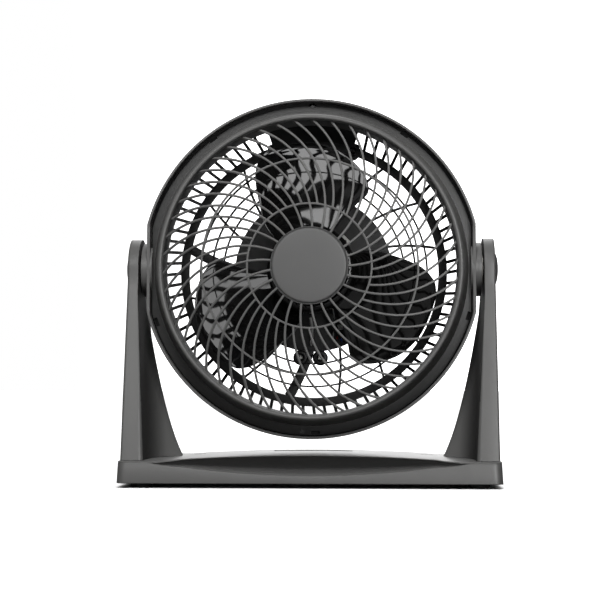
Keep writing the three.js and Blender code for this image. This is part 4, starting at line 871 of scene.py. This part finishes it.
def arm(side):
    levels = []
    for height, ridge in arm_levels():
        spread = max(0.0, (NECK_HEIGHT - height) / (NECK_HEIGHT - BASE_TOP))
        levels.append((height, NECK_HALF_DEPTH + FOOT_SPREAD * spread, ridge))
    levels.append((NECK_HEIGHT, NECK_HALF_DEPTH, ARM_IN))
    for angle in np.radians(np.linspace(0, 89.4, 26)):
        levels.append((TILT + NECK_HALF_DEPTH * math.sin(angle), NECK_HALF_DEPTH * math.cos(angle), ARM_IN))
    sections = [[(side * x, y, height) for x, y in arm_section(height, half_depth, ridge)]
                for height, half_depth, ridge in levels]
    made = faces_out(piece("arm_shell_" + SIDE[side], *skin(sections), STAND))
    outward = stand_side(side)
    recess = rounded([(0.01, 161.4, 0), (16.3, 161.4, 0.3), (16.3, 175, 0), (0.01, 175, 0)])
    bore = [(0.01, 150), (4.75, 150), (4.75, 158.9), (9.4, 158.9), (9.4, 170), (0.01, 170)]
    cutters = [faces_out(piece("cutter", *lathe(recess, 96), outward)),
               faces_out(piece("cutter", *lathe(bore, 48), outward)),
               block((-0.1, -0.1, 150), (0.1, 0.1, 175), outward)]
    return smooth(cut_away(made, cutters), 30)


for side in SIDE:
    made = dress(arm(side), "stand", GREY, "arm_" + SIDE[side])
    # The hollow faces get the second finish, which paints shade into them.
    made.data.materials.append(HOLLOW_PAINTED_SHADE_GREY)
    for face in made.data.polygons:
        strip = min(0.001 * ARM_IN, STRIP_AT_FLOOR + STRIP_LEAN * face.center.z)
        face.material_index = int(-side * face.normal.x > 0.1 and side * face.center.x < strip + 0.0002)
    dome_cap = [(16 * math.cos(a), ARM_OUT + 4.2 * math.sin(a)) for a in np.linspace(0.06, math.pi / 2 - 0.001, 18)]
    dress(turned("pivot_cap_dome_" + SIDE[side], [(0.01, 161.8), (15.9, 161.8), (16, 164.3)] + dome_cap,
                 stand_side(side), 96, angle=50), "stand", GREY, "pivot_cap_" + SIDE[side])

# %% [markdown]
# ## Base
# The base is a low bar whose front is hollowed in a long scoop under the edge of the top,
# so that it looks thin in the middle. It is a skin over upright sections from end to end.
# Two small slots and a shallow seat are sunk in its top, where they catch the light in the
# photograph.

# %% Base sections
HALF_LENGTH, HALF_DEPTH, BASE_LOW, BASE_CORNER = 166.5, 71.5, 4.0, 8.0
SCOOP_HALF, SCOOP_DEPTH, SCOOP_CURVE, SCOOP_BACK = 138.0, 17.2, 16.2, 14.0


def base_section(x, half_depth):
    share = max(0.004, 1 - (x / SCOOP_HALF) ** 2)
    back_top = BASE_TOP + 4 * max(0.0, 1 - (x / 117) ** 2)
    top = back_top + 1.7 * min(1, max(0, (130 - abs(x)) / 20))
    edge = 0.6 + 0.6 * (1 - min(1, share)) ** 4
    lower, front = top - edge - SCOOP_DEPTH * share, -half_depth
    outline = [(front + 0.5, BASE_LOW), (front, BASE_LOW + 0.6), (front, lower - 0.5 * edge),
               (front + 0.15 * edge, lower - 0.15 * edge), (front + 0.5 * edge, lower)]
    for a in np.linspace(math.pi / 2, 0.02, 18):
        outline.append((front + 0.52 * edge + (SCOOP_BACK * share - 0.5 * edge * share) * math.sin(a) ** 0.6,
                        top - edge - SCOOP_CURVE * share * (1 - math.cos(a))))
    outline += [(front + edge - edge * math.cos(a), top - edge + edge * math.sin(a))
                for a in quarter(5)]
    outline += [(half_depth - 3 + 3 * math.sin(a), back_top - 3 + 3 * math.cos(a))
                for a in quarter(8)]
    outline += [(half_depth, BASE_LOW + 0.6), (half_depth - 0.5, BASE_LOW)]
    taper = [(z - BASE_LOW) / (BASE_TOP - BASE_LOW) for _, z in outline]
    return [(x * (1 - t / HALF_LENGTH), y * (1 - t / HALF_DEPTH), z) for t, (y, z) in zip(taper, outline)]


def base_stations():
    inner_x, inner_y = HALF_LENGTH - BASE_CORNER, HALF_DEPTH - BASE_CORNER
    right = [(inner_x + BASE_CORNER * math.sin(a), inner_y + BASE_CORNER * math.cos(a))
             for a in np.linspace(math.pi / 2, 0, 14)]
    right += [(x, HALF_DEPTH) for x in np.linspace(155, 0, 70)]
    return right + [(-x, depth) for x, depth in reversed(right[:-1])]


base = faces_out(piece("base_body", *skin([base_section(x, depth) for x, depth in base_stations()]), STAND))
cutters = [block((-160.5, -56, -1), (160.5, 65.5, 7.8), STAND), block((-160.5, -65.5, -1), (160.5, -50, 7.8), STAND),
           block((-36.5, 28, 25.5), (36.5, 44, 40), STAND)]
for side in SIDE:
    cutters.append(block((side * 105 - 5.5, 27.5, 22.3), (side * 105 + 5.5, 32.5, 40), STAND))
dress(smooth(cut_away(base, cutters), 34), "stand", GREY, "base_shell")

# %% Feet
for k, (sx, sy) in enumerate([(1, -1), (-1, -1), (1, 1), (-1, 1)]):
    dress(turned(f"rubber_foot_{k + 1}", rounded([
        (0.01, 0, 0), (8.2, 0, 0.6), (9, 1.2, 0.8), (9, 4.7, 0.2), (0.01, 4.7, 0),
    ]), STAND @ Matrix.Translation((sx * 146.5, sy * 53.5, 0)), 48), "stand", RUBBER, f"foot_{k + 1}")

# %% [markdown]
# ## The back
# A shallow cover closes the back of the motor. It carries the speed dial, whose numbers run
# clockwise as seen from behind, and the gland where a cord would enter. The carry handle is
# a soft bar on two legs. Pieces that slope or bend are skins over sections, like the arms.

# %% Cover and gland
COVER_BACK, DIAL_Y, GROOVES, LEADS_OUT = -60.8, 30.0, 7, -51.3
cover = turned("rear_cover_shell", rounded([
    (0.01, COVER_BACK, 0), (55.5, COVER_BACK, 5), (60, -56.4, 4), (62, -41.8, 0.5), (60, -41.8, 0.3), (57.6, -55.8, 3),
    (54, -58.8, 3), (0.01, -58.8, 0),
], steps=6), HEAD, 160)
dial = head_at(0, DIAL_Y)
cutters = [turned("cutter", rounded([(0.01, -64, 0), (22.4, -64, 0), (22.4, -60.1, 0.2), (0.01, -60.1, 0)]), dial, 96)]
for k in range(GROOVES):
    y = -9 - 5.4 * k
    half = min(30.0, math.sqrt(48.0**2 - y * y) - 2)
    cutters.append(soften(block((-half, y - 1.1, COVER_BACK - 1), (half, y + 1.1, COVER_BACK + 1.1), HEAD), 1.0))
dress(smooth(cut_away(cover, cutters)), "head", BLACK, "rear_cover")
grooves = [(2.8, 58.3), (5, 58.3), (5, 62.3), (6.5, 62.3), (6.5, 64)]
for k in range(4):
    low, wide = 64.2 + 1.7 * k, 6.2 - 0.1 * k
    grooves += [(5.1, low), (5.1, low + 0.8), (wide, low + 1.0), (wide, low + 1.6)]
downward = head_at(0, 0, LEADS_OUT) @ turn(90, "X")
dress(turned("cord_gland_sleeve", rounded(grooves + [(5.2, 71.3), (2.8, 71.3)], 0.3), downward, 64),
      "head", RUBBER, "cord_gland")


# %% Dial marks and knob
MARK_CIRCLE, FLUTES = 17.8, 28


def mark(text, angle):
    """A small number on the dial, raised and facing back."""
    curve = bpy.data.curves.new("mark", "FONT")
    curve.body, curve.size, curve.extrude, curve.align_x, curve.align_y = text, 5.0, 0.18, "CENTER", "CENTER"
    drawn = placed("mark", curve)
    mesh = plain_mesh(drawn)
    bpy.data.objects.remove(drawn)
    spot = (-MARK_CIRCLE * math.sin(angle), DIAL_Y + MARK_CIRCLE * math.cos(angle), -60.15)
    mesh.transform(head_at(*spot) @ turn(180, "Y"))
    return placed("dial_mark_" + text, mesh)


dress(join("dial_marks", [mark(str(k), math.radians(45 * k)) for k in range(4)]), "head", WHITE)
loops = []
for radius, height, flute in [(12.6, -61.1, 0), (13.0, -61.5, 0), (13.0, -62.2, 0), (12.6, -62.7, 0.02),
                              (12.2, -63.0, 0.07), (11.9, -66.6, 0.07), (11.5, -67.2, 0.05), (10.8, -67.6, 0),
                              (8, -67.75, 0)]:
    loops.append([polar(radius * (1 - flute * (0.5 + 0.5 * math.cos(FLUTES * a))), a, height)
                  for a in full_turn(12 * FLUTES)])
grip = shaped("knob_body", *skin(loops), dial, 40)
pointer = soften(block((-2.3, -11.2, -69.6), (2.3, 11.2, -66.0), dial, name="knob_pointer"), 1.1, 4)
dress(join("knob_body", [grip, pointer]), "knob", BLACK, "speed_knob")
dress(soften(block((-0.55, 3.5, -69.75), (0.55, 10.2, -69.4), dial, name="knob_line"), 0.12), "knob", WHITE)


# %% Carry handle
LEG_X, LEG_FOOT, LEG_TOP, BAR_Z, BAR_Y = 37, -41.8, -54.3, -63.3, 115.15


def handle_line():
    """Middle of each section, from the left leg over the bar to the right one."""
    half = [(-LEG_X, z) for z in (LEG_FOOT, -43.0, -44.0, -48.0, LEG_TOP)]
    half += [(9 - LEG_X - 9 * math.cos(a), LEG_TOP - 9 * math.sin(a)) for a in quarter(12)[1:]]
    half += [(x, BAR_Z) for x in (-22, -15, -7)]
    return half + [(0, BAR_Z)] + [(-x, z) for x, z in reversed(half)]


middles, sections = handle_line(), []
for i, (x, z) in enumerate(middles):
    (ax, az), (bx, bz) = middles[max(0, i - 1)], middles[min(len(middles) - 1, i + 1)]
    length = math.hypot(bx - ax, bz - az)
    nx, nz = -(bz - az) / length, (bx - ax) / length
    foot_share = max(0.0, 1 - (LEG_FOOT - z) / 2)
    wide = (5.0 if abs(x) > 30 else 3.7) + 1.4 * foot_share
    sections.append([(x + nx * u, BAR_Y + v, z + nz * u) for u, v in squircle(wide, 6.1 + 1.3 * foot_share)])
handle = shaped("carry_handle_bar", *skin(sections), HEAD, 60)
dress(handle, "head", BLACK, "carry_handle")

# %% [markdown]
# ## Screws and washers
# Every screw is turned with a domed head and gets a cross recess. Its place and size are
# measured on its CAD solid: the longest side is the axis, and the wide end is the head.


# %% Screws and washers
def measure(name, axis=None):
    """Where a CAD screw's head sits, the head's radius and thickness, the length, the shank's radius."""
    solid = frame["nodes"][name]
    points = np.array([tuple(solid.matrix_world @ v.co) for v in solid.data.vertices]) * 1000
    low, high = points.min(axis=0), points.max(axis=0)
    axis = int(np.argmax(high - low)) if axis is None else axis
    across = np.linalg.norm(np.delete(points - (low + high) / 2, axis, 1), axis=1)
    heads = points[across > 0.85 * across.max(), axis]
    sign = 1 if heads.mean() > (low + high)[axis] / 2 else -1
    seat = (low + high) / 2
    seat[axis] = heads.min() if sign > 0 else heads.max()
    direction = Vector()
    direction[axis] = sign
    place = MM @ Matrix.Translation(seat) @ Vector((0, 0, 1)).rotation_difference(direction).to_matrix().to_4x4()
    return place, across.max(), heads.max() - heads.min(), (high - low)[axis], across[across > 0.5].min()


def screw(name, body, material, axis=None, at=None):
    place, wide, thick, long, thin = measure(name, axis)
    if at:
        place = head_at(*at)
    made = turned(name + "_smooth", rounded([
        (0.01, thick - long, 0), (thin, thick - long, 0.4), (thin, 0, 0.1), (wide, 0, 0.3), (wide, 0.5 * thick, 0.8),
        (0.72 * wide, 0.95 * thick, 0.8), (0.01, thick, 0),
    ]), place, 48, angle=50)
    long_half, half = 0.58 * wide, 0.12 * wide
    cutters = [block((-long_half, -half, 0.35 * thick), (long_half, half, thick + 1), place, angle)
               for angle in (20, 110)]
    dress(smooth(cut_away(made, cutters), 40), body, material, name)


SCREWS = {"flange": ("head", BLACK_STEEL), "handle": ("head", BLACK_STEEL), "motor": ("head", ZINC),
          "post": ("head", ZINC), "arm": ("stand", ZINC), "pivot": ("head", ZINC)}
for name in sorted(frame["nodes"]):
    kind, _, number = name.partition("_screw_")
    if kind in SCREWS:
        screw(name, *SCREWS[kind], axis=0 if kind == "pivot" else None,
              at=(*POSTS[int(number) - 1], REAR + 7.7) if kind == "post" else None)
for side in SIDE:
    washer = rounded([(4.6, 153.3), (14, 153.3), (14, 154.3), (4.6, 154.3)], 0.3)
    dress(turned("pivot_washer_ring_" + SIDE[side], washer, head_side(side), 96),
          "stand", WHITE, "pivot_washer_" + SIDE[side])

# %% [markdown]
# ## Motor
# The motor hides behind the spinner, and only its lower leads show between the blades. The
# stack is turned with a fine step for every sheet, and two pale sleeves run down from it.
# The sleeves and the lead clip are pale, and their colour is painted lighter still to stand
# in for light that doesn't reach them behind the spinner.

# %% Stack and windings
STACK_BACK, STACK_FRONT, STACK_RADIUS, SHEET = -29, -17, 32, 0.8
sheets = [(17, STACK_BACK), (STACK_RADIUS, STACK_BACK)]
for k in range(15):
    z = STACK_BACK + SHEET * k
    sheets += [(STACK_RADIUS, z + 0.1), (STACK_RADIUS, z + 0.65), (STACK_RADIUS - 0.3, z + 0.7),
               (STACK_RADIUS - 0.3, z + SHEET)]
dress(turned("stator_stack", sheets + [(STACK_RADIUS, STACK_FRONT), (17, STACK_FRONT)], HEAD, 120),
      "head", SHEET_STEEL, "stator")
for label, low in (("front", -16.7), ("rear", -34.3)):
    turns = [(23.5 + u, low + 2.5 + v) for u, v in squircle(4.5, 2.5, 96, 0.5, 0.03)]
    dress(turned("winding_coil_" + label, turns, HEAD, 120, angle=60), "head", COPPER, "winding_" + label)


# %% Clip, leads and sleeves
def lead(name, route, material, width, corner, *nodes):
    made = ribs(name, route, HEAD, material, Count=1, Width=width, Depth=width, Corner=corner, Corner_Steps=4)
    dress(made, "head", material, *nodes)


dress(soften(block((22.3, -53.8, -33), (27.6, -48.4, -29.5), HEAD, name="lead_clip"), 0.9), "head", PALE_PAINTED_LIGHT)
for x, y, colour, label in [(22.6, -61.5, RED, "red"), (26.4, -63.6, BLUE, "blue")]:
    stops = [np.array(p) for p in ((0.62 * x, 0.62 * y, -23), (x, y, -25), (x, y, -37.6))]
    route = [bend(*stops, t) for t in np.linspace(0, 1, 25)]
    lead(f"lead_cover_{label}", route[:17], BLACK, 2.8, 1.2)
    lead(f"lead_wire_{label}", route[14:], colour, 2.0, 0.9, f"lead_{label}")
for k, (x, top, bottom, width) in enumerate([(-2.3, -42, -68, 2.6), (18.2, -31, -61, 1.5)]):
    route = [(x + 1.5 * math.sin(3 * t), top + (bottom - top) * t, -30 - 6 * t**2) for t in np.linspace(0, 1, 12)]
    lead(f"lead_sleeve_{k + 1}", route, PALE_PAINTED_LIGHT, width, 0.45 * width)

# %% [markdown]
# ## Pieces that keep their CAD shape
# Small and inner pieces have the right shape already. They only need their material.

# %% Materials of the CAD pieces
KEPT = {
    "base_underplate": BLACK, "speed_switch": BLACK, "bearing_front": BRONZE, "bearing_rear": BRONZE,
    "rotor": SHEET_STEEL, "shaft": SHEET_STEEL, "motor_bracket_rear": SHEET_STEEL, "motor_bracket_front": SHEET_STEEL,
}
for name, material in KEPT.items():
    solid = frame["nodes"][name].data
    solid.materials.clear()
    solid.materials.append(material)
print("kept from the CAD:", len(KEPT), "of", len(frame["nodes"]))
